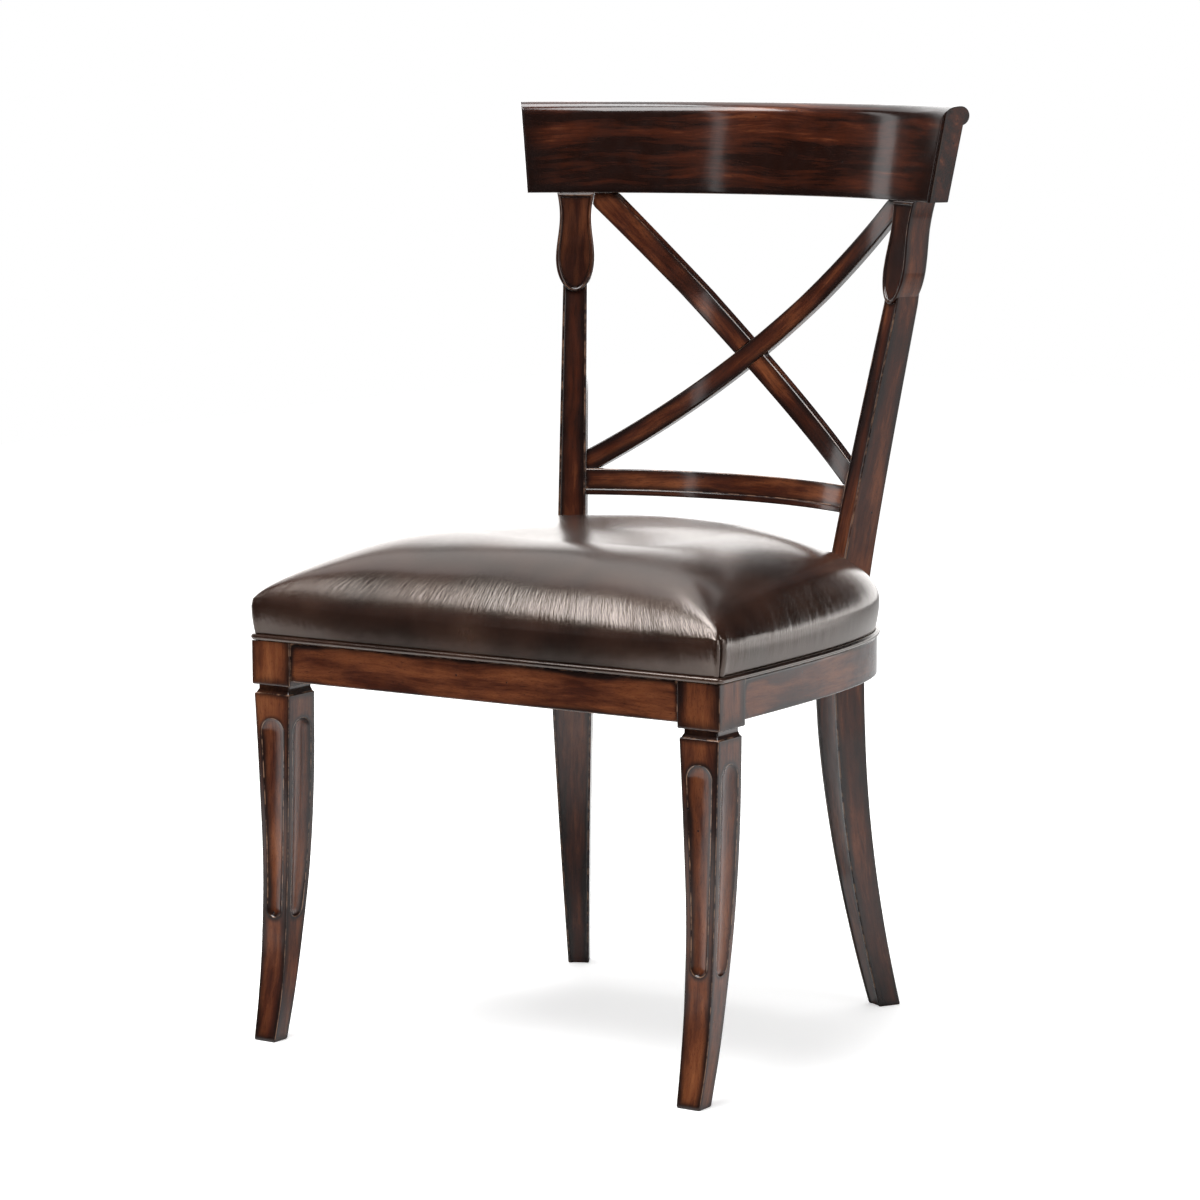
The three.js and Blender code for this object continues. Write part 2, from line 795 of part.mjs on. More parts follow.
const bothSides = (tools) => tools.flatMap((tool) => [tool, mirrored(tool)]);
const frontRail = cut(
  prism(frontRailOutline(0), railBottom, railTop, arris),
  ...bothSides([...frontDowels.map(dowelHole), allScrewHoles[0]]),
);
addPiece("front_seat_rail", frontRail, wood(0.28));

const backRail = cut(
  prism(backRailOutline(0), railBottom, railTop, arris),
  ...bothSides([...rearBackDowels.map(dowelHole), allScrewHoles[2]]),
);
addPiece("back_seat_rail", backRail, wood(0.28));

const dowelRuns = {
  front_rail_dowel: frontDowels,
  side_rail_front_dowel: sideDowels,
  side_rail_rear_dowel: rearSideDowels,
  back_rail_dowel: rearBackDowels,
};
for (const [name, runs] of Object.entries(dowelRuns)) {
  const corner = name.includes("rear") || name.includes("back") ? "rear" : "front";
  runs.forEach((run, i) => addPair(`${name}_${i + 1}`, dowel(run), plainWood, corner));
}

// Corner blocks, cut to the faces of the rails and legs that they are glued to
const frontLegGrown = prism(
  [
    new THREE.Vector2(blockInnerX - gap, -frameFront),
    new THREE.Vector2(frameHalfWidth, -frameFront),
    new THREE.Vector2(frameHalfWidth, blockBackY + gap),
    new THREE.Vector2(blockInnerX - gap, blockBackY + gap),
  ],
  railBottom,
  railTop,
);
const frontCorner = cut(
  prism(
    [
      new THREE.Vector2(blockInnerX - frontBlockReach, frontRailBackY + gap),
      new THREE.Vector2(sideRailInnerX, frontRailBackY + gap),
      new THREE.Vector2(sideRailInnerX, blockBackY + frontBlockReach),
    ],
    cornerBlockBottom,
    cornerBlockTop,
  ),
  frontLegGrown,
  prism(sideRailOutline(gap), railBottom, railTop),
);
const rearLegInFrame = inRearFrame(prism(
  [
    new THREE.Vector2(-legFaceX, waistRadius - gap),
    new THREE.Vector2(legFaceX, waistRadius - gap),
    new THREE.Vector2(legFaceX, frameBackRadius),
    new THREE.Vector2(-legFaceX, frameBackRadius),
  ],
  railBottom,
  railTop,
));
const rearCorner = cut(
  inRearFrame(prism(
    [
      new THREE.Vector2(-rearBlockHalfWidth, rearBlockBack),
      new THREE.Vector2(-rearBlockFaceHalfWidth, rearBlockFront),
      new THREE.Vector2(rearBlockFaceHalfWidth, rearBlockFront),
      new THREE.Vector2(rearBlockHalfWidth, rearBlockBack),
    ],
    cornerBlockBottom,
    cornerBlockTop,
  )),
  rearLegInFrame,
  prism(sideRailOutline(gap), railBottom, railTop),
  prism(backRailOutline(gap), railBottom, railTop),
);
const corners = { front: frontCorner, rear: rearCorner };
for (const [corner, block] of Object.entries(corners)) {
  const tools = blockScrews[corner].flatMap(({ seat, way }) => (
    [screwHole(seat, way, screwLength), counterbore(seat, way)]
  ));
  const seatHole = screwHole(seatScrews[corner], up, seatScrewLength);
  addPair(`${corner}_corner_block`, cut(block, ...tools, seatHole), plainWood, corner);
  blockScrews[corner].forEach(({ seat, way }, i) => {
    addPair(`${corner}_block_screw_${i + 1}`, screw(seat, way, screwLength), steel, corner);
  });
  addPair(`${corner}_seat_screw`, screw(seatScrews[corner], up, seatScrewLength), steel, corner);
}

// Crest rail: one section of the board and its scroll, carried round the back axis
function crestSection() {
  const frontLine = (height) => backRadius(height) - crestLead;
  const scrollHeight = crestTop - scrollRadius;
  const backHead = frontLine(scrollHeight) + crestHeadThickness;
  const backFoot = frontLine(crestBottom) + crestFootThickness;
  const scrollX = backHead + scrollLead;
  const shoulder = new THREE.QuadraticBezierCurve(
    new THREE.Vector2(frontLine(crestTop - crestShoulderDrop), crestTop - crestShoulderDrop),
    new THREE.Vector2(frontLine(crestTop), crestTop),
    new THREE.Vector2(scrollX, crestTop),
  );
  const scrollEnd = -Math.acos(Math.min(scrollLead / scrollRadius, 1));
  const scroll = spread(Math.PI / 2, scrollEnd, scrollSegments);
  return [
    new THREE.Vector2(frontLine(crestBottom) + arris, crestBottom),
    new THREE.Vector2(frontLine(crestBottom + arris), crestBottom + arris),
    ...shoulder.getPoints(shoulderSegments),
    ...scroll.slice(1).map((angle) => new THREE.Vector2(
      scrollX + scrollRadius * Math.cos(angle),
      scrollHeight + scrollRadius * Math.sin(angle),
    )),
    new THREE.Vector2(backFoot, crestBottom + arris),
    new THREE.Vector2(backFoot - arris, crestBottom),
  ];
}

const crestProfile = crestSection();
const bevelAngle = crestEndBevel / backRadius(crestBottom);
// One cross section of the crest rail; at its two ends the front face is bevelled away
function crestRing(angle, bevel) {
  return crestProfile.map(({ x, y }) => {
    const flare = 1 + (crestFlareShare * (y - crestBottom)) / (crestTop - crestBottom);
    const front = backRadius(y) - crestLead + bevel;
    return aroundBack(angle * flare, Math.max(x, front), y);
  });
}
const crestInner = crestHalfAngle - bevelAngle;
const crestRings = [
  crestRing(-crestHalfAngle, crestEndBevel),
  ...spread(-crestInner, crestInner, crestSegments).map((angle) => crestRing(angle, 0)),
  crestRing(crestHalfAngle, crestEndBevel),
];
const mortise = inRearFrame(postTenon(gap));
const crest = cut(loft(crestRings), mortise, mirrored(mortise));
addPiece("crest_rail", crest, wood(0.22));

// Lower back rail, between the posts, with a small lip along its lower edge
function lowerRailRing(share, grow) {
  const bottom = lowerRailBottom - grow;
  const top = lowerRailTop + grow;
  const lip = lowerRailBottom + lowerRailLip;
  const front = (height) => backRadius(height) - grow;
  const back = (height) => backRadius(height) + lowerRailThickness + grow;
  const outline = [
    [front(bottom) + arris, bottom],
    [front(bottom), bottom + arris],
    [front(lip), lip],
    [front(lip) + lowerRailLipDepth, lip + lowerRailLipDepth],
    [front(top) + lowerRailLipDepth, top - arris],
    [front(top) + lowerRailLipDepth + arris, top],
    [back(top) - arris, top],
    [back(top), top - arris],
    [back(bottom), bottom + arris],
    [back(bottom) - arris, bottom],
  ];
  return outline.map(([radius, height]) => {
    const end = legSideAngle(radius, postWidth(height) / 2 + gap - grow);
    return aroundBack(share * end, radius, height);
  });
}
const lowerRail = (grow) => loft(spread(-1, 1, lowerRailSegments).map((share) => lowerRailRing(share, grow)));
addPiece("lower_back_rail", lowerRail(0), wood(0.3));

// A slat: a flat strip that follows the back, bowed a little downwards between its ends
function slat(sign, near, far, grow) {
  const ends = [-slatLowReach, slatHighReach].map((end) => sign * end);
  const rings = spread(...ends, slatSegments).map((x) => {
    const middle = crossHeight + sign * slatSlope * x + (x * x) / (2 * slatBowRadius);
    const slope = sign * slatSlope + x / slatBowRadius;
    const normal = new THREE.Vector2(-slope, 1).normalize();
    const half = slatWidth / 2 + grow;
    const point = (across, depth) => {
      const sideways = x + normal.x * across;
      const height = middle + normal.y * across;
      const radius = backRadius(height) + slatSetBack + depth;
      return new THREE.Vector3(sideways, Math.sqrt(radius * radius - sideways * sideways), height);
    };
    return [
      point(-half, near + slatEase),
      point(-half + slatEase, near),
      point(half - slatEase, near),
      point(half, near + slatEase),
      point(half, far),
      point(-half, far),
    ];
  });
  return loft(rings);
}

const lapDepth = slatThickness / 2;
const crestFloor = prism(
  [
    new THREE.Vector2(-frameHalfWidth, 0),
    new THREE.Vector2(frameHalfWidth, 0),
    new THREE.Vector2(frameHalfWidth, 2 * frameBackRadius),
    new THREE.Vector2(-frameHalfWidth, 2 * frameBackRadius),
  ],
  crestBottom - gap,
  crestTop,
);
const slatTrims = [...bothSides([rearLegGrown]), lowerRail(gap), crestFloor];
const frontSlat = cut(
  slat(1, 0, slatThickness, 0),
  slat(-1, lapDepth - gap / 2 - slatEase, slatThickness + overrun, gap),
  ...slatTrims,
);
const rearSlat = cut(
  slat(-1, 0, slatThickness, 0),
  slat(1, -overrun, lapDepth + gap / 2, gap),
  ...slatTrims,
);
addPiece("back_slat_front", frontSlat, wood(0.3));
addPiece("back_slat_rear", rearSlat, wood(0.3));

// Seat outline, from the middle of the front edge round by the right side to the back
function seatLoop(inset) {
  const front = -frameFront;
  const radius = Math.max(cornerRadius, inset + arris);
  const corner = new THREE.Vector2(frameHalfWidth - radius, front + radius);
  const half = spread(0, 1, frontSegments / 2).map((share) => ({
    point: new THREE.Vector2(share * corner.x, front),
    normal: new THREE.Vector2(0, -1),
  }));
  for (const angle of spread(-Math.PI / 2, 0, cornerSegments).slice(1)) {
    const normal = new THREE.Vector2(Math.cos(angle), Math.sin(angle));
    half.push({ point: corner.clone().addScaledVector(normal, radius), normal });
  }
  spread(0, 1, sideSegments).slice(1).forEach((share) => {
    const point = sideCurve.getPoint(share);
    const along = sideCurve.getTangent(share);
    const flush = railInset * (1 - share);
    const normal = new THREE.Vector2(along.y, -along.x);
    half.push({ point: point.addScaledVector(normal, flush), normal });
  });
  const start = Math.atan2(sideEnd.x, sideEnd.y);
  for (const angle of spread(start, 0, backSegments / 2).slice(1)) {
    const normal = new THREE.Vector2(Math.sin(angle), Math.cos(angle));
    half.push({ point: normal.clone().multiplyScalar(frameBackRadius), normal });
  }
  const right = half.map(({ point, normal }) => point.clone().addScaledVector(normal, -inset));
  const left = right.slice(1, -1).reverse().map((point) => new THREE.Vector2(-point.x, point.y));
  return [...right, ...left];
}

// The notch that the seat leaves round a post, from the frame up
function postNotchTool(clear) {
  const heights = spread(railTop, railTop + wallHeight + crownHeight, notchSteps);
  const rings = heights.map((height) => {
    const half = postWidth(height) / 2 + clear;
    const front = backRadius(height) - clear;
    return easedRectangle(0, half, front, frameBackRadius + 3 * waistDepth, arris, height);
  });
  const low = rings[0].map((point) => new THREE.Vector3(point.x, point.y, railTop - overrun));
  return inRearFrame(loft([low, ...rings]));
}

// The crowned body of the seat, drawn in by an inset on every side: a wall that swells
// between the piping and its rounded top edge, then a quarter ellipse up to a domed top
const wallBottom = railTop + 2 * pipingRadius + 2 * gap;
const seatMiddle = new THREE.Vector2(0, (frameBackRadius - frameFront) / 2);
const wallTop = railTop + wallHeight;
function crownedBody(inset) {
  const place = (points, height) => points.map(({ x, y }) => new THREE.Vector3(x, y, height));
  const rings = [place(seatLoop(inset), wallBottom - overrun)];
  for (const share of spread(0, 1, wallRings).slice(0, -1)) {
    const wall = seatLoop(inset - wallBulge * Math.sin(Math.PI * share));
    rings.push(place(wall, mix(wallBottom, wallTop, share)));
  }
  const edge = seatLoop(inset);
  const halfSpan = (frameBackRadius + frameFront) / 2;
  const crown = (turn, middleShare) => {
    const dome = domeHeight * mix(crownShare * (1 - Math.cos(turn)), 1, middleShare);
    rings.push(edge.map((point) => {
      const toCorner = Math.hypot(frameHalfWidth - Math.abs(point.x), frameFront + point.y);
      const nearness = Math.exp(-((toCorner / cornerReach) ** 2));
      const steepness = 2 - cornerStraightShare * nearness;
      const inwards = crownShare * (1 - Math.sqrt(1 - Math.sin(turn) ** steepness));
      const out = point.clone().sub(seatMiddle);
      const round = out.clone().setLength(halfSpan);
      const eased = out.lerp(round, cornerEaseShare * (1 - Math.cos(turn)));
      eased.multiplyScalar((1 - inwards) * (1 - middleShare)).add(seatMiddle);
      const lift = cornerLift * nearness * Math.cos(turn);
      const rise = (crownHeight - inset) * Math.sin(turn) + dome + lift;
      return new THREE.Vector3(eased.x, eased.y, wallTop + rise);
    }));
  };
  const turns = spread(0, Math.PI / 2, crownRings);
  turns.forEach((turn) => crown(turn, 0));
  crown(Math.PI / 2, crownShare);
  return loft(rings);
}

const pipingHeight = railTop + gap + pipingRadius;
const notches = (clear) => bothSides([postNotchTool(clear)]);

// Piping: a leather cord round the foot of the seat, cut where the posts pass
function piping() {
  const path = seatLoop(pipingRadius - pipingProud);
  const rings = path.map((point, i) => {
    const before = path[(i + path.length - 1) % path.length];
    const after = path[(i + 1) % path.length];
    const along = after.clone().sub(before).normalize();
    return spread(0, 2 * Math.PI, pipingSides).slice(1).map((angle) => new THREE.Vector3(
      point.x + along.y * pipingRadius * Math.cos(angle),
      point.y - along.x * pipingRadius * Math.cos(angle),
      pipingHeight + pipingRadius * Math.sin(angle),
    ));
  });
  return cut(loft(rings, true), ...notches(postNotch));
}
const betweenPosts = prism(
  [new THREE.Vector2(0, 0), ...backLine(2 * frameBackRadius, -rearTurn, rearTurn, 2)],
  railTop - overrun,
  railTop + wallHeight,
);
addPiece("piping_front", cut(piping(), betweenPosts), hide, frames.seat);
addPiece("piping_back", common(piping(), betweenPosts), hide, frames.seat);

const seatHoles = bothSides(seatScrewHoles);
const boardTop = boardBottom + boardThickness;
const board = cut(
  prism(seatLoop(boardInset), boardBottom, boardTop),
  ...notches(postNotch),
  ...seatHoles,
);
addPiece("seat_board", board, plainWood, frames.seat);

const below = (height) => prism(seatLoop(-overrun), wallBottom - 2 * overrun, height);
const cover = cut(
  crownedBody(0),
  crownedBody(leather),
  below(wallBottom),
  ...notches(postNotch),
);
addPiece("leather_cover", cover, hide, frames.seat);

const pad = cut(
  crownedBody(leather + gap),
  below(boardTop + gap),
  ...notches(postNotch + leather),
);
addPiece("seat_pad", pad, foam, frames.seat);

// Dust cover under the seat board, inside the frame
const dustLoop = [
  new THREE.Vector2(-sideRailInnerX + dustCoverInset, frontRailBackY + dustCoverInset),
  new THREE.Vector2(sideRailInnerX - dustCoverInset, frontRailBackY + dustCoverInset),
  ...sideLine(railThickness + dustCoverInset).slice(1, -1),
  ...backLine(waistRadius - dustCoverInset, rearTurn, -rearTurn),
  ...sideLine(railThickness + dustCoverInset).slice(1, -1).reverse().map(({ x, y }) => (
    new THREE.Vector2(-x, y)
  )),
];
const dustTop = boardBottom - gap;
const dustCover = cut(
  prism(dustLoop, dustTop - dustCoverThickness, dustTop),
  ...bothSides([frontLegGrown]),
  ...seatHoles,
);
addPiece("dust_cover", dustCover, cloth, frames.seat);

// The middle of the footprint goes to the origin
const crestBack = Math.max(...crestProfile.map(({ x }) => x));
chair.position.y = -(crestBack + sabreSides(footEase).front) / 2;

const group = new THREE.Group();
group.add(chair);

export default group;
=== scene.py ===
"""Klismos dining chair in dark glazed mahogany with a crowned espresso leather seat.

Every size is in metres, +Z is up and the chair faces -Y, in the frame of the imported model. The
whole back is laid out round one upright line, the back axis, at x = 0 and y = axis_y: posts, slats
and both back rails lie on one surface of revolution about it.
"""

import json
import logging
import math
from dataclasses import dataclass
from enum import Enum

import bpy
import numpy as np
from mathutils import Matrix, Vector

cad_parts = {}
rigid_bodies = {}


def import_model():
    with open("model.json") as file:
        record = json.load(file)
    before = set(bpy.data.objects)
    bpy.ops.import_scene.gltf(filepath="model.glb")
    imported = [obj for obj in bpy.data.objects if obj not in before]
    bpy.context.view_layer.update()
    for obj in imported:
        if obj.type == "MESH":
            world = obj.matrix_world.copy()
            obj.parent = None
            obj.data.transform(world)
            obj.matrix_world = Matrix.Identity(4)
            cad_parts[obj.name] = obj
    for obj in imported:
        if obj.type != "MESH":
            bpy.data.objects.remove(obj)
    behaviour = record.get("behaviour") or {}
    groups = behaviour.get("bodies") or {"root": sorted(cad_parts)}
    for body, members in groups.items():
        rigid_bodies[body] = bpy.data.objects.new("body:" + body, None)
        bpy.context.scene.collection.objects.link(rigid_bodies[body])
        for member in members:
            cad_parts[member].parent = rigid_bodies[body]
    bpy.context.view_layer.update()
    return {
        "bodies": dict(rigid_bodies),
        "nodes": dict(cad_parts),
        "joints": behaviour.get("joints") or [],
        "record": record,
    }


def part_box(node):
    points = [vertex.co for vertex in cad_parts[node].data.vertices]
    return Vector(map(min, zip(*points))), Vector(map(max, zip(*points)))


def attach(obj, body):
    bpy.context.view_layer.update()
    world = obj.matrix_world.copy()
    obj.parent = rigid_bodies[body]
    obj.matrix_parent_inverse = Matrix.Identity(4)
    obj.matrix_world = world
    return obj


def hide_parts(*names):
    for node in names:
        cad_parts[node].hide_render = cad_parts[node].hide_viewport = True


log = logging.getLogger("klismos_chair")
Array = np.ndarray
Piece = bpy.types.Object
Finish = bpy.types.Material
Socket = bpy.types.NodeSocket
Numbers = tuple[float, ...]
Counts = tuple[int, ...]
Pair = tuple[float, float]
Triple = tuple[float, float, float]


class Side(Enum):
    """The two sides of the chair, with the sign of x on each."""

    RIGHT = 1
    LEFT = -1

    @property
    def tag(self) -> str:
        """The ending of the piece names on this side."""
        return self.name.lower()


def spaced(start: float, end: float, steps: int) -> Array:
    """Evenly spaced numbers from start to end, both included."""
    return np.linspace(start, end, steps + 1)


def quarter(steps: int) -> Array:
    """Evenly spaced angles from 0 to a right angle."""
    return spaced(0, math.pi / 2, steps)


def smooth_step(low: float, high: float, value: Array) -> Array:
    """0 below low, 1 above high, and the cubic 3t^2 - 2t^3 in between."""
    t = np.clip((value - low) / (high - low), 0, 1)
    return t * t * (3 - 2 * t)


def mix(start: Array, end: Array, share: Array) -> Array:
    """A straight blend from start, at share 0, to end, at share 1."""
    return start + (end - start) * share


def bell(distance: Array, width: float) -> Array:
    """The bell curve exp(-(distance / width)^2)."""
    return np.exp(-((distance / width) ** 2))


def stacked(*coordinates: Array) -> Array:
    """Coordinates spread to one common shape and set side by side on a new last axis."""
    return np.stack(np.broadcast_arrays(*coordinates), -1)


def run_along(points: Array) -> Array:
    """Distance from the first point along a line of points."""
    return np.concatenate([[0], np.cumsum(np.linalg.norm(np.diff(points, axis=0), axis=1))])


def through_knots(knots: Array, values: Array, at: Array) -> Array:
    """A smooth curve through knots, by cubic Hermite spans with central-difference slopes.

    Args:
        knots: rising positions of the knots.
        values: the curve's value at each knot.
        at: positions to read the curve at.

    Returns:
        The curve's value at each position.
    """
    before = np.maximum(np.arange(len(knots)) - 1, 0)
    after = np.minimum(np.arange(len(knots)) + 1, len(knots) - 1)
    slopes = (values[after] - values[before]) / (knots[after] - knots[before])
    i = np.clip(np.searchsorted(knots, at) - 1, 0, len(knots) - 2)
    span = knots[i + 1] - knots[i]
    t = (at - knots[i]) / span
    lean = span * t * (1 - t) * (slopes[i] * (1 - t) - slopes[i + 1] * t)
    return values[i] + (values[i + 1] - values[i]) * t * t * (3 - 2 * t) + lean


def waves(points: Array, seed: int, count: int, length: float) -> Array:
    """A gentle random field: the mean of plane cosine waves in random directions.

    Args:
        points: places to read the field at, the last axis holding the coordinates.
        seed: picks the directions and phases, the same in every run.
        count: how many waves are summed.
        length: the typical wavelength.

    Returns:
        Values of about -1 to 1, one for each place.
    """
    chance = np.random.default_rng(seed)
    ways = chance.normal(size=(points.shape[-1], count))
    ways *= 2 * math.pi / length / np.linalg.norm(ways, axis=0)
    ways *= chance.uniform(0.6, 1.6, count)
    return np.cos(points @ ways + chance.uniform(0, 2 * math.pi, count)).mean(-1) * math.sqrt(2)


def shade_smooth(piece: Piece, crease: float) -> None:
    """Shades a mesh smooth, but sharp where its faces fold by more than the crease angle.

    Args:
        piece: a mesh object.
        crease: an edge that folds by more degrees is shaded sharp.
    """
    mesh = piece.data
    mesh.polygons.foreach_set("use_smooth", np.ones(len(mesh.polygons), bool))
    mesh.set_sharp_from_angle(angle=math.radians(crease))
    mesh.update()


def paint_grain(piece: Piece, grain: Array, edge: Array) -> None:
    """Stores how the material lies on the piece.

    Args:
        piece: a mesh object.
        grain: for each corner, metres along the grain, across it and into the piece.
        edge: for each corner, metres to the nearest arris, or a small set value where shade is
            painted.
    """
    for name, kind, key, values in (
        ("grain", "FLOAT_VECTOR", "vector", grain), ("edge", "FLOAT", "value", edge)
    ):
        layer = piece.data.attributes.new(name, kind, "POINT")
        layer.data.foreach_set(key, np.ascontiguousarray(values, np.float32).ravel())


def dressed(piece: Piece, finish: Finish, slot: str, *nodes: str) -> Piece:
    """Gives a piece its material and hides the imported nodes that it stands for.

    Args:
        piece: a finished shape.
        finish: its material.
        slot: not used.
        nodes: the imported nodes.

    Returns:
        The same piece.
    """
    piece.data.materials.clear()
    piece.data.materials.append(finish)
    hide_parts(*nodes)
    return piece


def corners_of(mesh: bpy.types.Mesh) -> Array:
    """The mesh's corners as an array, one row each.

    Args:
        mesh: any mesh.

    Returns:
        Corners x 3.
    """
    flat = np.empty(len(mesh.vertices) * 3, np.float32)
    mesh.vertices.foreach_get("co", flat)
    return flat.reshape(-1, 3).astype(float)


def joined(name: str, parts: list[Piece]) -> Piece:
    """Joins several closed shells into one object, keeping their attributes.

    Args:
        name: the one object's name.
        parts: the shells.

    Returns:
        The one object.
    """
    with bpy.context.temp_override(
        active_object=parts[0], selected_objects=parts, selected_editable_objects=parts
    ):
        bpy.ops.object.join()
    parts[0].name = parts[0].data.name = name
    return parts[0]


def carve(piece: Piece, tool: Piece) -> None:
    """Takes the tool's solid out of the piece, and removes the tool.

    Args:
        piece: the solid that is cut.
        tool: the solid that is taken out.
    """
    modifier = piece.modifiers.new("carve", "BOOLEAN")
    modifier.operation = "DIFFERENCE"
    modifier.solver = "EXACT"
    modifier.object = tool
    evaluated = piece.evaluated_get(bpy.context.evaluated_depsgraph_get())
    mesh = bpy.data.meshes.new_from_object(evaluated)
    piece.modifiers.clear()
    piece.data = mesh
    bpy.data.objects.remove(tool)


@dataclass
class Skin:
    """A surface on a grid of rows and columns, which becomes one closed mesh.

    Attributes:
        points: the grid, rows x columns x 3. Columns run round the piece and join up.
        flat_ends: each end row is closed by one flat face, in place of a fan about its middle.
    """

    points: Array
    flat_ends: bool = False

    def faces(self) -> tuple[Array, Array]:
        """The quads between the rows, and the two ends as fans or as one flat face each.

        Returns:
            The corner numbers of the quads, and those of the end faces.
        """
        rows, columns = self.points.shape[:2]
        index = np.arange(rows * columns).reshape(rows, columns)
        beside = np.roll(index, -1, axis=1)
        quads = np.stack([index[:-1], beside[:-1], beside[1:], index[1:]], -1).reshape(-1, 4)
        if self.flat_ends:
            return quads, np.stack([index[0, ::-1], index[-1]])
        hub = rows * columns
        first = stacked(hub, beside[0], index[0])
        last = stacked(hub + 1, index[-1], beside[-1])
        return quads, np.concatenate([first, last])

    def spread(self, values: Array) -> Array:
        """Grid values as one for each corner of the mesh, the two hubs taking their row's mean.

        Args:
            values: rows x columns, and any further axes.

        Returns:
            Corners, and the same further axes.
        """
        flat = values.reshape(-1, *values.shape[2:])
        if self.flat_ends:
            return flat
        return np.concatenate([flat, values[0].mean(0)[None], values[-1].mean(0)[None]])

    def volume(self, corners: Array, quads: Array) -> float:
        """Six times the volume between the quads and the piece's middle, positive if outward.

        Args:
            corners: all corners of the mesh.
            quads: the corner numbers of the quads.

        Returns:
            A number that is negative where the faces point inwards.
        """
        triangles = np.concatenate([quads[:, [0, 1, 2]], quads[:, [0, 2, 3]]])
        a, b, c = (corners[triangles[:, k]] - corners.mean(0) for k in range(3))
        return float((a * np.cross(b, c)).sum())

    def build(self, name: str, crease: float = 38) -> Piece:
        """Makes the mesh object, turned so that its faces point outwards.

        Args:
            name: the object's name.
            crease: edges that fold by more than this many degrees are shaded sharp.

        Returns:
            The new object, linked to the scene and riding on the chair's one body.
        """
        corners = self.spread(self.points)
        quads, ends = self.faces()
        if self.volume(corners, quads) < 0:
            quads, ends = quads[:, ::-1], ends[:, ::-1]
        mesh = bpy.data.meshes.new(name)
        mesh.from_pydata(corners, [], quads.tolist() + ends.tolist())
        mesh.validate()
        piece = bpy.data.objects.new(name, mesh)
        bpy.context.scene.collection.objects.link(piece)
        shade_smooth(piece, crease)
        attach(piece, "root")
        return piece

    def painted(self, name: str, grain: tuple[Array, ...], edge: Array, crease: float = 38) -> Piece:
        """Builds the mesh object and stores its grain and edge values, spread over the grid.

        Args:
            name: the object's name.
            grain: metres along the grain, across it and into the piece.
            edge: metres to the nearest arris, or a small set value where shade is painted.
            crease: the angle of sharp edges in degrees.

        Returns:
            The new object.
        """
        piece = self.build(name, crease)
        shape = self.points.shape[:2]
        lie = np.stack([np.broadcast_to(values, shape) for values in grain], -1)
        paint_grain(piece, self.spread(lie), self.spread(np.broadcast_to(edge, shape)))
        return piece


@dataclass
class BoxRing:
    """Sections with rounded corners, one for each row, as arrays of rows x columns.

    x runs across the piece and y from its front to its back. Round the section come the front
    face, a corner, the right face, a corner, the back face, a corner, the left face, a corner.
    """

    x: Array
    y: Array
    normal_x: Array
    normal_y: Array
    aside: Array
    face: Array

    @classmethod
    def around(
        cls, half_width: Array, front: Array, back: Array, radius: Array, front_run: Array,
        side_run: Array, corner_steps: int = 4,
    ) -> "BoxRing":
        """Lays the section out from its half width, front, back and corner radius in each row.

        Args:
            half_width: half the width of each row's section.
            front: y of the front face.
            back: y of the back face.
            radius: radius of the four corners.
            front_run: rows x columns of x on the front face, from left to right.
            side_run: rows x columns of y on the right face from its middle, from front to back.
            corner_steps: flats in each rounded corner.

        Returns:
            The ring, in which a corner of angle a is at centre + radius * (cos a, sin a), and
            face numbers the faces from 0 to 3 and says 4 on a corner.
        """
        rows = len(half_width)
        width, near, far, round_ = (
            np.asarray(values, float)[:, None] for values in (half_width, front, back, radius)
        )
        middle = (near + far) / 2
        back_run, left_run = front_run[:, ::-1], side_run[:, ::-1]
        parts = []
        for number, (x, y, normal, run, sign, level) in enumerate((
            (front_run, near, (0.0, -1.0), front_run, 1, near + round_),
            (width, middle + side_run, (1.0, 0.0), side_run, 1, far - round_),
            (back_run, far, (0.0, 1.0), back_run, -1, far - round_),
            (-width, middle + left_run, (-1.0, 0.0), left_run, -1, near + round_),
        )):
            turn = math.pi / 2 * (number - 1) + quarter(corner_steps)[None, 1:-1]
            way = np.cos(turn), np.sin(turn)
            corner_x = sign * (width - round_) + round_ * way[0]
            parts.append((x, y, *normal, run, number))
            parts.append((corner_x, level + round_ * way[1], *way, 1.0, 4))
        grids = []
        for part in parts:
            shape = np.broadcast_shapes(part[0].shape, part[1].shape, (rows, 1))
            grids.append([np.broadcast_to(values, shape) for values in part])
        *lines, face = (np.concatenate(values, axis=1) for values in zip(*grids))
        return cls(*lines, face[0])


def straight_run(limit: Array, steps: int, crowding_share: float = 0.6) -> Array:
    """Columns from -limit to +limit, closer together near both ends.

    Args:
        limit: half the run in each row.
        steps: flats in the run.
        crowding_share: how much the columns crowd, from 0 to 1.

    Returns:
        Places, rows x columns.
    """
    share = np.sin(spaced(-math.pi / 2, math.pi / 2, steps))
    share = mix(spaced(-1, 1, steps), share, crowding_share)
    return np.asarray(limit, float)[:, None] * share[None, :]


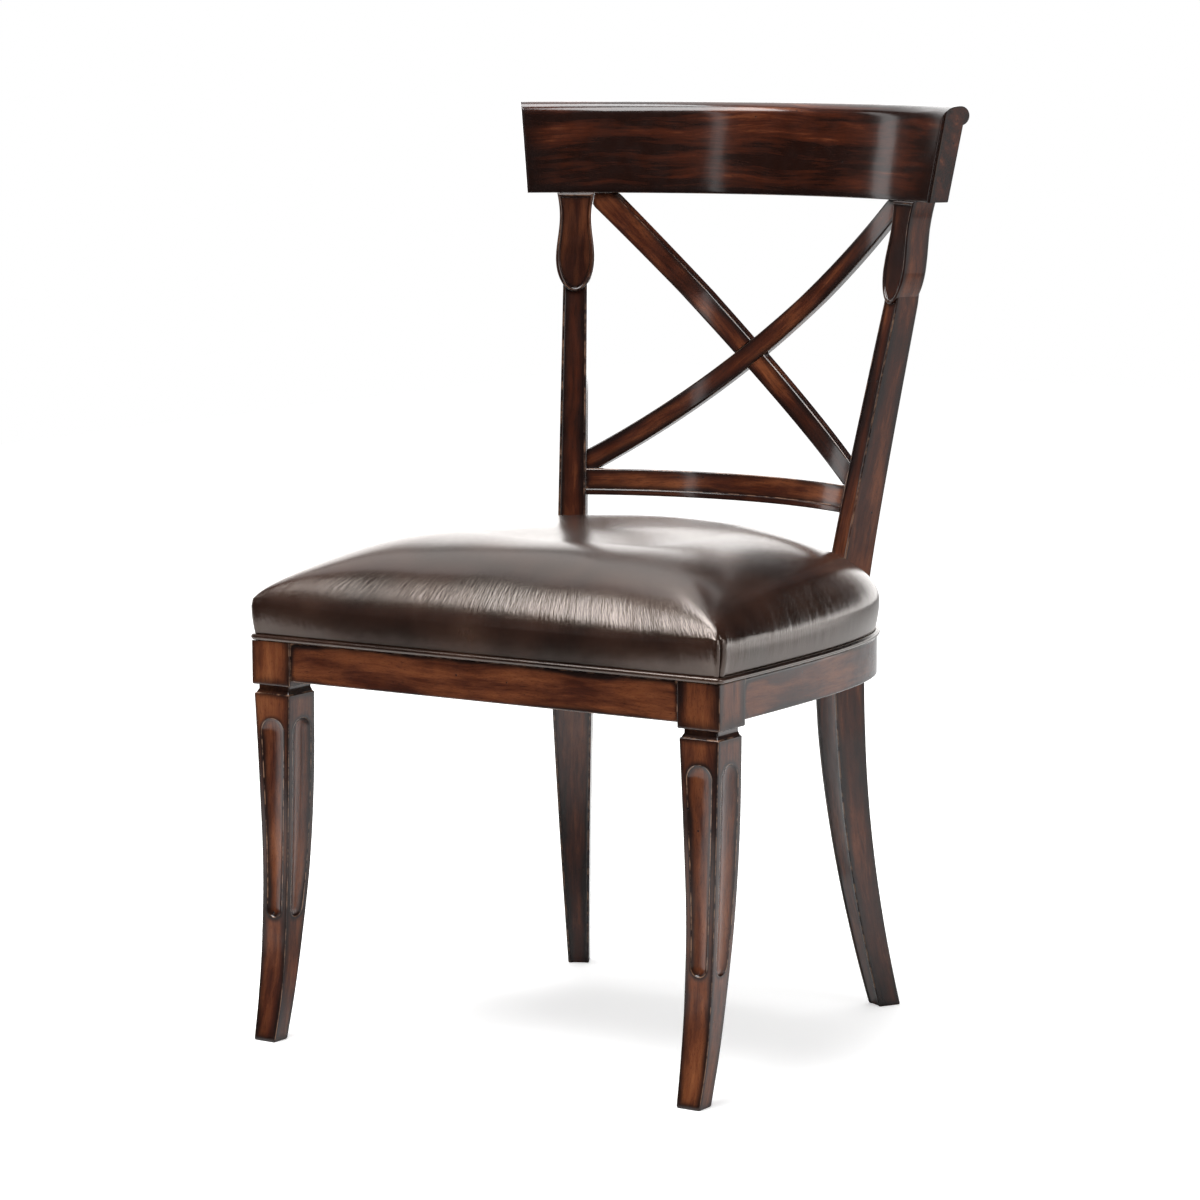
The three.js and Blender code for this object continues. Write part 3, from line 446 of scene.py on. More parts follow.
@dataclass
class BackShape:
    """The surface of revolution that posts, slats and back rails lie on."""

    axis_y: float
    waist_radius: float = 0.320
    waist_height: float = 0.365
    foot_kick: float = 0.0625
    sweep_power: float = 1.78
    post_rake: float = 0.25
    post_easing: float = 0.075
    head_height: float = 0.733
    head_rake: float = 0.165
    rear_turn: float = math.asin(0.6214 * 0.2765 / 0.350)

    def radius(self, height: Array) -> Array:
        """Distance from the back axis of the back's front face, at each height.

        Below the waist it grows with the drop to the power sweep_power. Above it, a hyperbola
        leans into a straight rake, and over the posts' heads a second straight rake follows.

        Args:
            height: heights above the floor.

        Returns:
            A radius for each height.
        """
        height = np.asarray(height, float)
        drop = np.maximum(self.waist_height - height, 0) / self.waist_height
        low = self.waist_radius + self.foot_kick * drop**self.sweep_power
        rise = np.clip(height, self.waist_height, self.head_height) - self.waist_height
        lean = self.post_rake * (np.hypot(rise, self.post_easing) - self.post_easing)
        return low + lean + self.head_rake * np.maximum(height - self.head_height, 0)

    def around(self, angle: Array, radius: Array, height: Array) -> Array:
        """Points at an angle off the middle, a radius from the back axis, and a height."""
        return stacked(radius * np.sin(angle), self.axis_y + radius * np.cos(angle), height)

    def beside_post(self, side: Side, x: Array, y: Array, z: Array) -> Array:
        """Points given across a rear leg, out from the back axis, and up, in the chair's frame."""
        cos, sin = math.cos(self.rear_turn), math.sin(self.rear_turn)
        return stacked(side.value * (x * cos + y * sin), self.axis_y - x * sin + y * cos, z)

    def seen_from_post(self, side: Side, points: Array, axis_y: float) -> tuple[Array, Array]:
        """How far points are across a rear leg and out from an axis that stands at y = axis_y.

        Args:
            side: which rear leg.
            points: points in the chair's frame or the axis's own.
            axis_y: where the back axis stands in that frame.

        Returns:
            Both distances of each point.
        """
        cos, sin = math.cos(self.rear_turn), math.sin(self.rear_turn)
        x, y = side.value * points[..., 0], points[..., 1] - axis_y
        return x * cos - y * sin, x * sin + y * cos


class Graph:
    """A short way to write a node tree: each method adds a node and returns its result."""

    def __init__(self, owner: Finish | bpy.types.World) -> None:
        """Starts with the owner's node tree, emptied.

        Args:
            owner: the material or world.
        """
        owner.use_nodes = True
        self.owner = owner
        self.tree = owner.node_tree
        self.tree.nodes.clear()

    def node(self, kind: str, inputs: dict[int | str, object], **settings: object) -> bpy.types.Node:
        """Adds a node, makes its own settings, and links its sockets or sets them to a value.

        Args:
            kind: the node's type without the word ShaderNode.
            inputs: for each socket a result of another node, a value, or None to leave it.
            settings: the node's own properties.

        Returns:
            The new node.
        """
        node = self.tree.nodes.new("ShaderNode" + kind)
        for name, value in settings.items():
            setattr(node, name, value)
        for socket, value in inputs.items():
            if isinstance(value, Socket):
                self.tree.links.new(value, node.inputs[socket])
            elif value is not None:
                node.inputs[socket].default_value = value
        return node

    def end(self, kind: str, shader: bpy.types.Node) -> Finish | bpy.types.World:
        """Links the last shader to the tree's output and returns the tree's owner."""
        self.node("Output" + kind, {0: shader.outputs[0]})
        return self.owner

    def attribute(self, name: str, output: str = "Fac") -> Socket:
        """Reads one of the piece's own attributes."""
        return self.node("Attribute", {}, attribute_name=name).outputs[output]

    def place(self) -> Socket:
        """The Object coordinates of the surface."""
        return self.node("TexCoord", {}).outputs["Object"]

    def stretched(self, vector: Socket, scale: Triple, shift: float = 0) -> Socket:
        """Coordinates multiplied axis by axis, and shifted."""
        move = (shift, shift * 0.7, shift * 1.3)
        return self.node("Mapping", {"Vector": vector, "Scale": scale, "Location": move}).outputs[0]

    def flowing(self, vector: Socket, scale: Triple, sway: Triple, shift: float) -> Socket:
        """Coordinates that sway to and fro in slow noise, so that the figure flows in curves.

        Args:
            vector: the coordinates.
            scale: the slow noise's scale on each axis.
            sway: how far the coordinates move on each axis.
            shift: picks another stretch of noise.

        Returns:
            The swaying coordinates.
        """
        slow = self.stretched(vector, scale, shift + 13)
        noise = self.node("TexNoise", {"Vector": slow, "Scale": 1, "Detail": 2}).outputs["Color"]
        return self.node(
            "VectorMath", {0: noise, 1: sway, 2: vector}, operation="MULTIPLY_ADD"
        ).outputs[0]

    def noise(
        self, vector: Socket, scale: float = 1, detail: float = 3, rough: float = 0.5
    ) -> Socket:
        """Fractal noise, about 0.5 in the mean."""
        inputs = {"Vector": vector, "Scale": scale, "Detail": detail, "Roughness": rough}
        return self.node("TexNoise", inputs).outputs["Fac"]

    def cells(self, vector: Socket, scale: float, feature: str = "F1") -> tuple[Socket, Socket | None]:
        """Distance to the nearest cell point or cell edge, and the cell's random colour."""
        node = self.node("TexVoronoi", {"Vector": vector, "Scale": scale}, feature=feature)
        return node.outputs["Distance"], node.outputs.get("Color")

    def map_range(
        self, value: Socket, low: float, high: float, to: Pair = (0, 1)
    ) -> Socket:
        """Carries low..high smoothly over to the given range, held at its ends."""
        inputs = {0: value, 1: low, 2: high, 3: to[0], 4: to[1]}
        return self.node("MapRange", inputs, interpolation_type="SMOOTHSTEP").outputs[0]

    def math(self, kind: str, a: object, b: object = None, c: object = None) -> Socket:
        """One arithmetic node."""
        return self.node("Math", {0: a, 1: b, 2: c}, operation=kind).outputs[0]

    def total(self, *parts: tuple[Socket, float]) -> Socket:
        """The sum of some results, each times its weight.

        Args:
            parts: each result with its weight.

        Returns:
            The sum.
        """
        value, weight = parts[0]
        result = self.math("MULTIPLY", value, weight)
        for value, weight in parts[1:]:
            result = self.math("ADD", result, self.math("MULTIPLY", value, weight))
        return result

    def blend(self, share: object, a: object, b: object) -> Socket:
        """Mixes two colours."""
        return self.node("Mix", {0: share, 6: a, 7: b}, data_type="RGBA").outputs[2]

    def ramp(self, value: Socket, stops: list[tuple[float, Triple]]) -> Socket:
        """A colour ramp through the given stops.

        Args:
            value: what picks the colour.
            stops: places from 0 to 1, each with its colour.

        Returns:
            The colour.
        """
        node = self.node("ValToRGB", {0: value})
        elements = node.color_ramp.elements
        for element, (at, colour) in zip((elements[0], elements[1]), (stops[0], stops[-1])):
            element.position = at
            element.color = (*colour, 1)
        for at, colour in stops[1:-1]:
            elements.new(at).color = (*colour, 1)
        return node.outputs[0]

    def bump(self, height: Socket, depth: float, strength: float = 1, base: object = None) -> Socket:
        """A bumped normal, depth metres between heights 0 and 1."""
        inputs = {"Distance": depth, "Strength": strength, "Height": height, "Normal": base}
        return self.node("Bump", inputs).outputs[0]

    def shade(self, **sockets: object) -> Finish:
        """Ends in a Principled shader; underscores in the names stand for spaces."""
        inputs = {name.replace("_", " "): value for name, value in sockets.items()}
        return self.end("Material", self.node("BsdfPrincipled", inputs))


@dataclass(frozen=True)
class GlazedMahogany:
    """Mahogany under a dark glaze that gathers along the arrises, worn through on the sharpest."""

    name: str = "glazed_mahogany"
    deep: Triple = (0.012, 0.0042, 0.0030)
    body: Triple = (0.052, 0.0125, 0.0055)
    warm: Triple = (0.150, 0.044, 0.0160)
    flame: Triple = (0.290, 0.100, 0.036)
    glaze: Triple = (0.0075, 0.0035, 0.0030)
    rubbed: Triple = (0.380, 0.210, 0.130)
    glaze_edge: float = 0.0005
    glaze_width: float = 0.0085
    glaze_drift: float = 0.018
    wear_width: float = 0.0011
    brightness: float = 0.0
    shift: float = 0.0
    contrast: float = 0.8
    fibre_scale: Triple = (34, 520, 520)
    streak_scale: Triple = (13, 130, 130)
    ribbon_scale: Triple = (8, 42, 42)
    pore_scale: Triple = (170, 2300, 2300)
    dent_scale: float = 52
    dent_depth: float = 0.0006
    swell_depth: float = 0.0004
    fibre_depth: float = 0.00006

    def material(self) -> Finish:
        """Builds the material.

        Colour runs from deep to flame with fibres stretched along the grain, broad ribbons and
        clouds of glaze; dark glaze lies near the arrises, a thin rubbed line on them, and small
        dark dents are scattered about. Where a piece sets a small edge value away from any arris,
        the same dark glaze is painted shade.

        Returns:
            The node material.
        """
        g = Graph(bpy.data.materials.new(self.name))
        edge, place, glaze = g.attribute("edge"), g.place(), (*self.glaze, 1)
        grain = g.flowing(
            g.attribute("grain", "Vector"), (7, 14, 14), (0.0, 0.020, 0.020), self.shift
        )
        fibre = g.noise(g.stretched(grain, self.fibre_scale, self.shift), 1, 5, 0.65)
        streak = g.noise(g.stretched(grain, self.streak_scale, self.shift + 3), 1, 4, 0.6)
        ribbon = g.noise(g.stretched(grain, self.ribbon_scale, self.shift + 7), 1, 3, 0.55)
        cloud = g.noise(g.stretched(place, (7, 7, 7), self.shift + 11), 1, 3, 0.55)
        tone = g.total((fibre, 0.24), (streak, 0.40), (ribbon, 0.66), (cloud, 0.44))
        tone = g.math("MULTIPLY", g.math("SUBTRACT", tone, 0.87), self.contrast)
        tone = g.math("ADD", tone, self.brightness + 0.49)
        stops = [(0.28, self.deep), (0.44, self.body), (0.58, self.warm), (0.78, self.flame)]
        pores = g.noise(g.stretched(grain, self.pore_scale, self.shift), 1, 2, 0.5)
        pore = g.math("MULTIPLY", g.map_range(pores, 0.56, 0.68), 0.55)
        wood = g.blend(pore, g.ramp(tone, stops), glaze)
        ragged = g.math("MULTIPLY", g.math("SUBTRACT", cloud, 0.5), self.glaze_drift)
        inside = g.math("ADD", edge, ragged)
        dark = g.map_range(inside, self.glaze_edge, self.glaze_width, (0.92, 0.0))
        wood = g.blend(dark, wood, glaze)
        patchy = g.map_range(g.noise(place, 70, 3, 0.6), 0.42, 0.62)
        worn = g.map_range(edge, 0.0, self.wear_width, (0.75, 0.0))
        wood = g.blend(g.math("MULTIPLY", worn, patchy), wood, (*self.rubbed, 1))
        dents, chance = g.cells(place, self.dent_scale)
        few = g.map_range(chance, 0.55, 0.57)
        dent = g.math("MULTIPLY", g.map_range(dents, 0.040, 0.070, (1.0, 0.0)), few)
        wood = g.blend(g.math("MULTIPLY", dent, 0.9), wood, glaze)
        swell = g.bump(g.noise(place, 38, 2, 0.4), self.swell_depth, 0.35)
        fine = g.bump(fibre, self.fibre_depth, 0.5, swell)
        return g.shade(
            Base_Color=wood,
            Roughness=g.map_range(g.noise(place, 55, 4, 0.6), 0.3, 0.7, (0.30, 0.44)),
            Specular_IOR_Level=0.08,
            Coat_Weight=0.9,
            Coat_Roughness=0.12,
            Coat_IOR=1.5,
            Normal=g.bump(g.math("SUBTRACT", 1.0, dent), self.dent_depth, 0.7, fine),
            Coat_Normal=swell,
        )


@dataclass(frozen=True)
class EspressoLeather:
    """Glossy aniline leather: fine cell grain, slow colour drift, creases towards the roll."""

    name: str = "espresso_leather"
    dark: Triple = (0.0100, 0.0046, 0.0034)
    brown: Triple = (0.0270, 0.0125, 0.0085)
    rubbed: Triple = (0.0560, 0.0290, 0.0195)
    grain_scale: float = 820
    gloss: float = 0.22
    crease_depth: float = 0.00045
    swell_depth: float = 0.0004
    grain_depth: float = 0.000010

    def material(self) -> Finish:
        """Builds the material; the `edge` attribute holds how creased the leather is.

        Returns:
            The node material.
        """
        g = Graph(bpy.data.materials.new(self.name))
        place, lie = g.place(), g.attribute("grain", "Vector")
        mottle = g.noise(place, 170, 3, 0.6)
        tone = g.total((g.noise(place, 11, 2, 0.5), 0.97), (mottle, 0.05))
        distance, _ = g.cells(place, self.grain_scale, "DISTANCE_TO_EDGE")
        folds = g.noise(g.stretched(lie, (270, 48, 1)), 1, 4, 0.65)
        finer = g.noise(g.stretched(lie, (760, 130, 1), 4), 1, 2, 0.5)
        folds = g.math("ADD", folds, g.math("MULTIPLY", finer, 0.4))
        relief = g.bump(g.math("MULTIPLY", folds, g.attribute("edge")), self.crease_depth, 0.9)
        relief = g.bump(g.noise(place, 60, 2, 0.5), self.swell_depth, 0.12, relief)
        relief = g.bump(g.map_range(distance, 0.0, 0.22), self.grain_depth, 0.5, relief)
        return g.shade(
            Base_Color=g.ramp(tone, [(0.38, self.dark), (0.56, self.brown), (0.78, self.rubbed)]),
            Roughness=g.map_range(mottle, 0.3, 0.7, (self.gloss - 0.01, self.gloss + 0.03)),
            Specular_IOR_Level=0.75,
            Specular_Tint=(1.0, 0.86, 0.77, 1.0),
            Coat_Weight=0.45,
            Coat_Roughness=0.15,
            Coat_Tint=(1.0, 0.95, 0.90, 1.0),
            Normal=relief,
            Coat_Normal=relief,
        )


@dataclass(frozen=True)
class BareWood:
    """Unfinished beech or plywood of the hidden parts, with grain along one axis."""

    name: str
    pale: Triple = (0.52, 0.34, 0.19)
    dark: Triple = (0.33, 0.19, 0.095)
    stretch: Triple = (12, 160, 160)
    fibre_depth: float = 0.0003

    def material(self) -> Finish:
        """Builds the material on Object coordinates: fibres, flecks and a dry, sawn surface.

        Returns:
            The node material.
        """
        g = Graph(bpy.data.materials.new(self.name))
        place = g.place()
        fibre = g.noise(g.stretched(place, self.stretch), 1, 5, 0.6)
        flecks = g.map_range(g.noise(g.stretched(place, self.stretch, 5), 5, 2, 0.5), 0.60, 0.72)
        wood = g.ramp(fibre, [(0.34, self.dark), (0.66, self.pale)])
        return g.shade(
            Base_Color=g.blend(g.math("MULTIPLY", flecks, 0.5), wood, (*self.dark, 1)),
            Roughness=g.map_range(fibre, 0.3, 0.7, (0.62, 0.82)),
            Normal=g.bump(fibre, self.fibre_depth, 0.5),
        )


@dataclass(frozen=True)
class ZincSteel:
    """Dull zinc-plated steel of the screws."""

    name: str = "zinc_steel"
    dull: Triple = (0.36, 0.35, 0.31)
    bright: Triple = (0.62, 0.60, 0.55)
    mark_depth: float = 0.00004

    def material(self) -> Finish:
        """Builds the material: bright metal with turning marks and duller patches.

        Returns:
            The node material.
        """
        g = Graph(bpy.data.materials.new(self.name))
        place = g.place()
        spots = g.noise(place, 420, 4, 0.6)
        return g.shade(
            Base_Color=g.ramp(spots, [(0.3, self.dull), (0.7, self.bright)]),
            Metallic=1.0,
            Roughness=g.map_range(spots, 0.3, 0.7, (0.28, 0.5)),
            Normal=g.bump(g.noise(place, 1800, 2, 0.5), self.mark_depth, 0.5),
        )


@dataclass(frozen=True)
class Cambric:
    """Thin black dust cloth with a plain weave."""

    name: str = "black_cambric"
    thread: float = 0.0009
    weave_depth: float = 0.0002
    black: Triple = (0.006, 0.006, 0.0065)
    grey: Triple = (0.020, 0.019, 0.019)

    def material(self) -> Finish:
        """Builds the material; the weave is the product of two sets of threads.

        Returns:
            The node material.
        """
        g = Graph(bpy.data.materials.new(self.name))
        place = g.place()
        turns = 2 * math.pi / self.thread
        split = g.node("SeparateXYZ", {0: place}).outputs
        across, along = (g.math("SINE", g.math("MULTIPLY", split[k], turns)) for k in (0, 1))
        weave = g.math("MULTIPLY", across, along)
        tone = g.math("ADD", g.math("MULTIPLY", weave, 0.12), g.noise(place, 240, 4, 0.6))
        return g.shade(
            Base_Color=g.ramp(tone, [(0.35, self.black), (0.7, self.grey)]),
            Roughness=0.92,
            Sheen_Weight=0.3,
            Normal=g.bump(weave, self.weave_depth, 0.5),
        )


@dataclass
class FrontLeg:
    """A square block in the seat frame, a neck, and a fluted leg that sweeps forward.

    Attributes:
        height_shares: heights of six knots as shares of the shoulder's height.
        front_shares: the front face's sweep at the knots, as shares of front_sweep.
        back_shares: the back face's sweep at the knots, as shares of back_sweep.
        width_shares: the width at the knots, as shares of shoulder_width.
    """

    side: Side
    axis_y: float
    finish: Finish
    frame_front: float = -0.1202
    frame_half_width: float = 0.2765
    block_width: float = 0.0474
    block_depth: float = 0.0468
    block_bottom: float = 0.3617
    rail_top: float = 0.4065
    neck_inset: float = 0.0048
    neck_taper: float = 0.0042
    shoulder: float = 0.353
    shoulder_width: float = 0.044
    shoulder_roll: float = 0.0012
    front_sweep: float = 0.0185
    back_sweep: float = 0.0436
    height_shares: Numbers = (0, 0.13, 0.28, 0.5, 0.75, 1)
    front_shares: Numbers = (1, 0.443, 0.07, -0.168, -0.15, -0.054)
    back_shares: Numbers = (1, 0.73, 0.45, 0.124, 0.014, 0.067)
    width_shares: Numbers = (0.6, 0.672, 0.695, 0.733, 0.859, 1)
    arris: float = 0.0013
    foot_ease: float = 0.002
    first_row: float = 0.006
    flute_bottom: float = 0.1245
    flute_top: float = 0.328
    flute_low_rows: float = 0.012
    flute_high_rows: float = 0.016
    flute_gap: float = 0.0006
    flute_margin: float = 0.0066
    flute_depth: float = 0.0032
    block_first_row: float = 0.004
    top_gap: float = 0.0003
    hair: float = 0.0001
    neck_shade_edge: float = 0.0012
    block_edge: float = 0.0003
    block_glaze_share: float = 0.55
    grain_shift: float = 0.3
    margin_columns: int = 4
    flute_columns: int = 30

    def walls(self, height: Array) -> Array:
        """Where the walls of the sweeping leg stand, each a smooth curve through six knots.

        Args:
            height: heights above the floor.

        Returns:
            Half the width, minus y of the front and y of the back, 3 x heights. A length taken
            off all three draws the section in by that length.
        """
        knots = np.array(self.height_shares) * self.shoulder
        at = np.clip(height, 0, self.shoulder)
        width, front, back = (
            through_knots(knots, np.array(shares) * size, at)
            for shares, size in (
                (self.width_shares, self.shoulder_width),
                (self.front_shares, self.front_sweep),
                (self.back_shares, self.back_sweep),
            )
        )
        return np.stack([
            width / 2, front - self.frame_front, self.frame_front + self.block_depth - back
        ])

    def rows(self) -> tuple[Array, Array]:
        """Height and walls of every row, from the foot to the block's top.

        Rows crowd together at the rounded ends of the flutes, on the eased foot, and on the
        shoulder and the block's lower edge, which roll over quarter circles.

        Returns:
            The heights of the rows, and their walls, 3 x rows.
        """
        turn = quarter(4)
        low_end = self.flute_bottom + self.flute_low_rows * (1 - np.cos(quarter(20)))
        high_end = self.flute_top - self.flute_high_rows * (1 - np.cos(quarter(24)))[::-1]
        leg = np.concatenate([
            self.foot_ease * (1 - np.cos(turn)),
            spaced(self.first_row, self.flute_bottom - self.flute_gap, 26),
            low_end,
            spaced(low_end[-1], high_end[0], 44)[1:-1],
            high_end,
            spaced(self.flute_top + self.flute_gap, self.shoulder - self.shoulder_roll, 8),
        ])
        leg_inset = np.zeros_like(leg)
        leg_inset[: len(turn)] = self.foot_ease * (1 - np.sin(turn))
        neck = spaced(0, 1, 4)[1:]
        block = np.concatenate([
            [self.block_bottom] * 2,
            self.block_bottom + self.arris * (1 - np.cos(turn[1:])),
            spaced(self.block_bottom + self.block_first_row, self.rail_top - self.top_gap, 12),
        ])
        block_inset = np.zeros_like(block)
        block_inset[0] = self.neck_inset
        block_inset[1:6] = self.arris * (1 - np.sin(turn))
        shoulder = self.walls(np.array([self.shoulder]))
        box = np.array([
            [self.block_width / 2], [-self.frame_front], [self.frame_front + self.block_depth]
        ])
        height = np.concatenate([
            leg,
            self.shoulder - self.shoulder_roll * (1 - np.sin(turn[1:])),
            mix(self.shoulder, self.shoulder + self.neck_taper, neck),
            block,
        ])
        walls = np.concatenate([
            self.walls(leg) - leg_inset,
            shoulder - self.shoulder_roll * (1 - np.cos(turn[1:])),
            mix(shoulder - self.shoulder_roll, box - self.neck_inset, neck),
            box - block_inset,
        ], axis=1)
        return height, walls

    def columns(self, limit: Array) -> Array:
        """Columns across one face: a margin, the flute, a margin.

        The flute's long edges lie exactly on a column, at the face's half width less the margin.

        Args:
            limit: half the flat part of the face in each row.

        Returns:
            Distance from the face's middle line, rows x columns.
        """
        reach = (limit + self.arris - self.flute_margin)[:, None]
        inner = spaced(-1, 1, self.flute_columns)[None, :] * reach
        outer = mix(reach, limit[:, None], spaced(0, 1, self.margin_columns)[None, 1:])
        return np.concatenate([-outer[:, ::-1], inner, outer], axis=1)

    def flute(self, aside: Array, reach: Array, height: Array) -> tuple[Array, Array]:
        """Depth of the flute, and the distance to its outline.

        Across, the depth is a parabola that reaches zero on the outline. The ends are arcs whose
        radius is the half width there, and the depth fades with the square root of the arc.

        Args:
            aside: how far each point is from the face's middle line.
            reach: the flute's half width in each row.
            height: each row's height.

        Returns:
            Depth into the face, and metres to the outline.
        """
        middle = len(height) // 2
        low_round = float(np.interp(self.flute_bottom, height[:middle], reach[:middle, 0]))
        rising = np.argsort(height, kind="stable")
        high_round = float(np.interp(self.flute_top, height[rising], reach[rising, 0]))
        z = height[:, None]
        low = (self.flute_bottom + low_round - z) / low_round
        high = (z - (self.flute_top - high_round)) / high_round
        past = np.clip(np.maximum(low, high), 0, 1)
        roundness = np.sqrt(1 - past**2)
        across = np.minimum(np.abs(aside) / np.maximum(reach * roundness, 1e-6), 1)
        past_end = np.maximum(np.maximum(low, 0) * low_round, np.maximum(high, 0) * high_round)
        outline = np.hypot(aside, past_end) - reach
        return self.flute_depth * roundness * (1 - across**2), np.abs(outline)

    def build(self) -> Piece:
        """Makes the leg with its three flutes, marks grain and arrises, and paints shade into the neck
        under the block.

        Returns:
            The finished piece.
        """
        height, walls = self.rows()
        half, front, back = walls * np.array([[1], [-1], [1]])
        deep = (back - front) / 2
        ring = BoxRing.around(
            half, front, back, np.full_like(height, self.arris),
            self.columns(half - self.arris), self.columns(deep - self.arris),
        )
        depth, outline = np.zeros_like(ring.x), np.ones_like(ring.x)
        fluted = (height < self.shoulder)[:, None]
        for number, reach in ((0, half), (1, deep), (3, deep)):
            on_face = ring.face == number
            scoop, near = self.flute(
                ring.aside[:, on_face], (reach - self.flute_margin)[:, None], height
            )
            depth[:, on_face] = np.where(fluted, scoop, 0)
            outline[:, on_face] = np.where(fluted, near, 1)
        x, y = ring.x - ring.normal_x * depth, ring.y - ring.normal_y * depth
        centre = self.side.value * (self.frame_half_width - self.block_width / 2)
        level = height[:, None]
        middle = ((front + back) / 2)[:, None]
        to_side, to_face = half[:, None] - np.abs(ring.x), deep[:, None] - np.abs(ring.y - middle)
        ends = np.minimum(np.abs(level - self.block_bottom), np.abs(level - self.shoulder))
        edge = np.minimum(np.minimum(np.maximum(to_side, to_face), outline * 1.4), ends)
        edge = np.minimum(edge, level)
        # Painted shade: the neck between shoulder and block gets a small fixed edge value, so the dark
        # glaze paints the shadow that falls in that recess.
        above_shoulder = level > self.shoulder + 2 * self.hair
        edge = np.where(
            above_shoulder & (level < self.block_bottom + self.hair), self.neck_shade_edge, edge
        )
        on_block = level > self.block_bottom + self.arris
        edge = np.where(on_block, edge * self.block_glaze_share + self.block_edge, edge)
        skin = Skin(stacked(centre + self.side.value * x, self.axis_y + y, level))
        grain = (level, x + self.grain_shift * self.side.value, y - middle)
        piece = skin.painted(f"front_leg_wood_{self.side.tag}", grain, edge)
        return dressed(piece, self.finish, "stained_wood", f"front_leg_{self.side.tag}")


@dataclass
class RearLeg:
    """Rear leg and back post in one bent piece, with the paddle at its head."""

    side: Side
    back: BackShape
    finish: Finish
    foot_width: float = 0.0228
    knee_width: float = 0.042
    knee_height: float = 0.290
    foot_depth: float = 0.0254
    foot_ease: float = 0.002
    first_row: float = 0.006
    waist_depth: float = 0.0354
    post_foot_width: float = 0.031
    post_head_width: float = 0.026
    post_head_depth: float = 0.026
    rail_top: float = 0.4065
    hair: float = 0.0001
    crest_bottom: float = 0.838
    crest_gap: float = 0.0003
    foot_drift: float = 0.0024
    bead_width: float = 0.0036
    bead_depth: float = 0.0011
    bead_edge: float = 0.0003
    bead_foot_edge: float = 0.0012
    arris: float = 0.0012
    paddle_half: float = 0.0208
    paddle_neck_half: float = 0.017
    paddle_top_half: float = 0.020
    paddle_rise: float = 0.036
    neck_drop: float = 0.026
    paddle_proud: float = 0.0026
    paddle_depth: float = 0.0275
    paddle_rings: Numbers = (0.019, 0.012, 0.008)
    least_share: float = 0.05
    rim_width: float = 0.0042
    rim_fall: float = 0.0019
    rim_edge: float = 0.0004
    field_sink: float = 0.0013
    field_edge: float = 0.0030
    groove_width: float = 0.0014
    groove_depth: float = 0.0007
    groove_edge: float = 0.0012
    grain_shift: float = 0.7

    def widths(self, height: Array) -> tuple[Array, Array]:
        """Width and depth of the leg or post at each height, both straight tapers.

        Args:
            height: heights above the floor.

        Returns:
            The widths and the depths.
        """
        leg_width = mix(self.foot_width, self.knee_width, np.minimum(height / self.knee_height, 1))
        leg_depth = mix(
            self.foot_depth, self.waist_depth, np.minimum(height / self.back.waist_height, 1)
        )
        share = (height - self.rail_top) / (self.back.head_height - self.rail_top)
        post_width = mix(self.post_foot_width, self.post_head_width, share)
        post_depth = mix(self.waist_depth, self.post_head_depth, share)
        above = height > self.rail_top
        return np.where(above, post_width, leg_width), np.where(above, post_depth, leg_depth)

    def front_columns(self, limit: Array) -> Array:
        """Columns over the front face: seven on each bead and ten on the panel between them.

        Args:
            limit: half the flat part of the face in each row.

        Returns:
            Distance from the face's middle line, rows x columns.
        """
        bead = self.bead_width - self.arris
        inner = (limit - bead)[:, None]
        panel = spaced(-1, 1, 10)[None, :] * inner
        beads = inner + spaced(0, 1, 7)[None, 1:] * bead
        return np.concatenate([-beads[:, ::-1], panel, beads], axis=1)

    def shaft(self) -> Piece:
        """The leg and post: a section with two beads on its front face, carried up the back.

        Returns:
            The painted shell.
        """
        turn = quarter(4)
        top = self.back.head_height + self.paddle_rise
        height = np.concatenate([
            self.foot_ease * (1 - np.cos(turn)),
            spaced(self.first_row, self.rail_top, 90),
            spaced(self.rail_top + self.hair, top, 70),
        ])
        width, depth = self.widths(height)
        inset = np.zeros_like(height)
        inset[: len(turn)] = self.foot_ease / 2 * (1 - np.sin(turn))
        half = width / 2 - inset
        front = self.back.radius(height) + inset
        rear = front + depth - 2 * inset
        side_run = straight_run((rear - front) / 2 - self.arris, 14)
        ring = BoxRing.around(
            half, front, rear, np.full_like(height, self.arris),
            self.front_columns(half - self.arris), side_run,
        )
        on_front = ring.face == 0
        from_side = half[:, None] - np.abs(ring.x[:, on_front])
        across = np.clip(from_side / self.bead_width, 0, 1)
        swell = np.sqrt(np.clip(1 - (2 * across - 1) ** 2, 0, 1))
        sink = np.where(across < 1, self.bead_depth * (1 - swell), self.bead_depth)
        y = ring.y.copy()
        y[:, on_front] += np.where(across < 0.5, 0, sink)
        drift = self.foot_drift * np.maximum(1 - height / self.back.waist_height, 0)
        level, line = height[:, None], ((front + rear) / 2)[:, None]
        to_face = (rear - front)[:, None] / 2 - np.abs(ring.y - line)
        edge = np.minimum(np.maximum(half[:, None] - np.abs(ring.x), to_face), level)
        on_bead = np.abs(from_side - self.bead_width / 2) + self.bead_edge
        beside_bead = np.abs(from_side - self.bead_width) + self.bead_foot_edge
        edge[:, on_front] = np.minimum(on_bead, beside_bead)
        skin = Skin(self.back.beside_post(self.side, ring.x - drift[:, None], y, level))
        grain = (level, ring.x + self.grain_shift * self.side.value, ring.y - line)
        return skin.painted(f"rear_leg_shaft_{self.side.tag}", grain, edge)

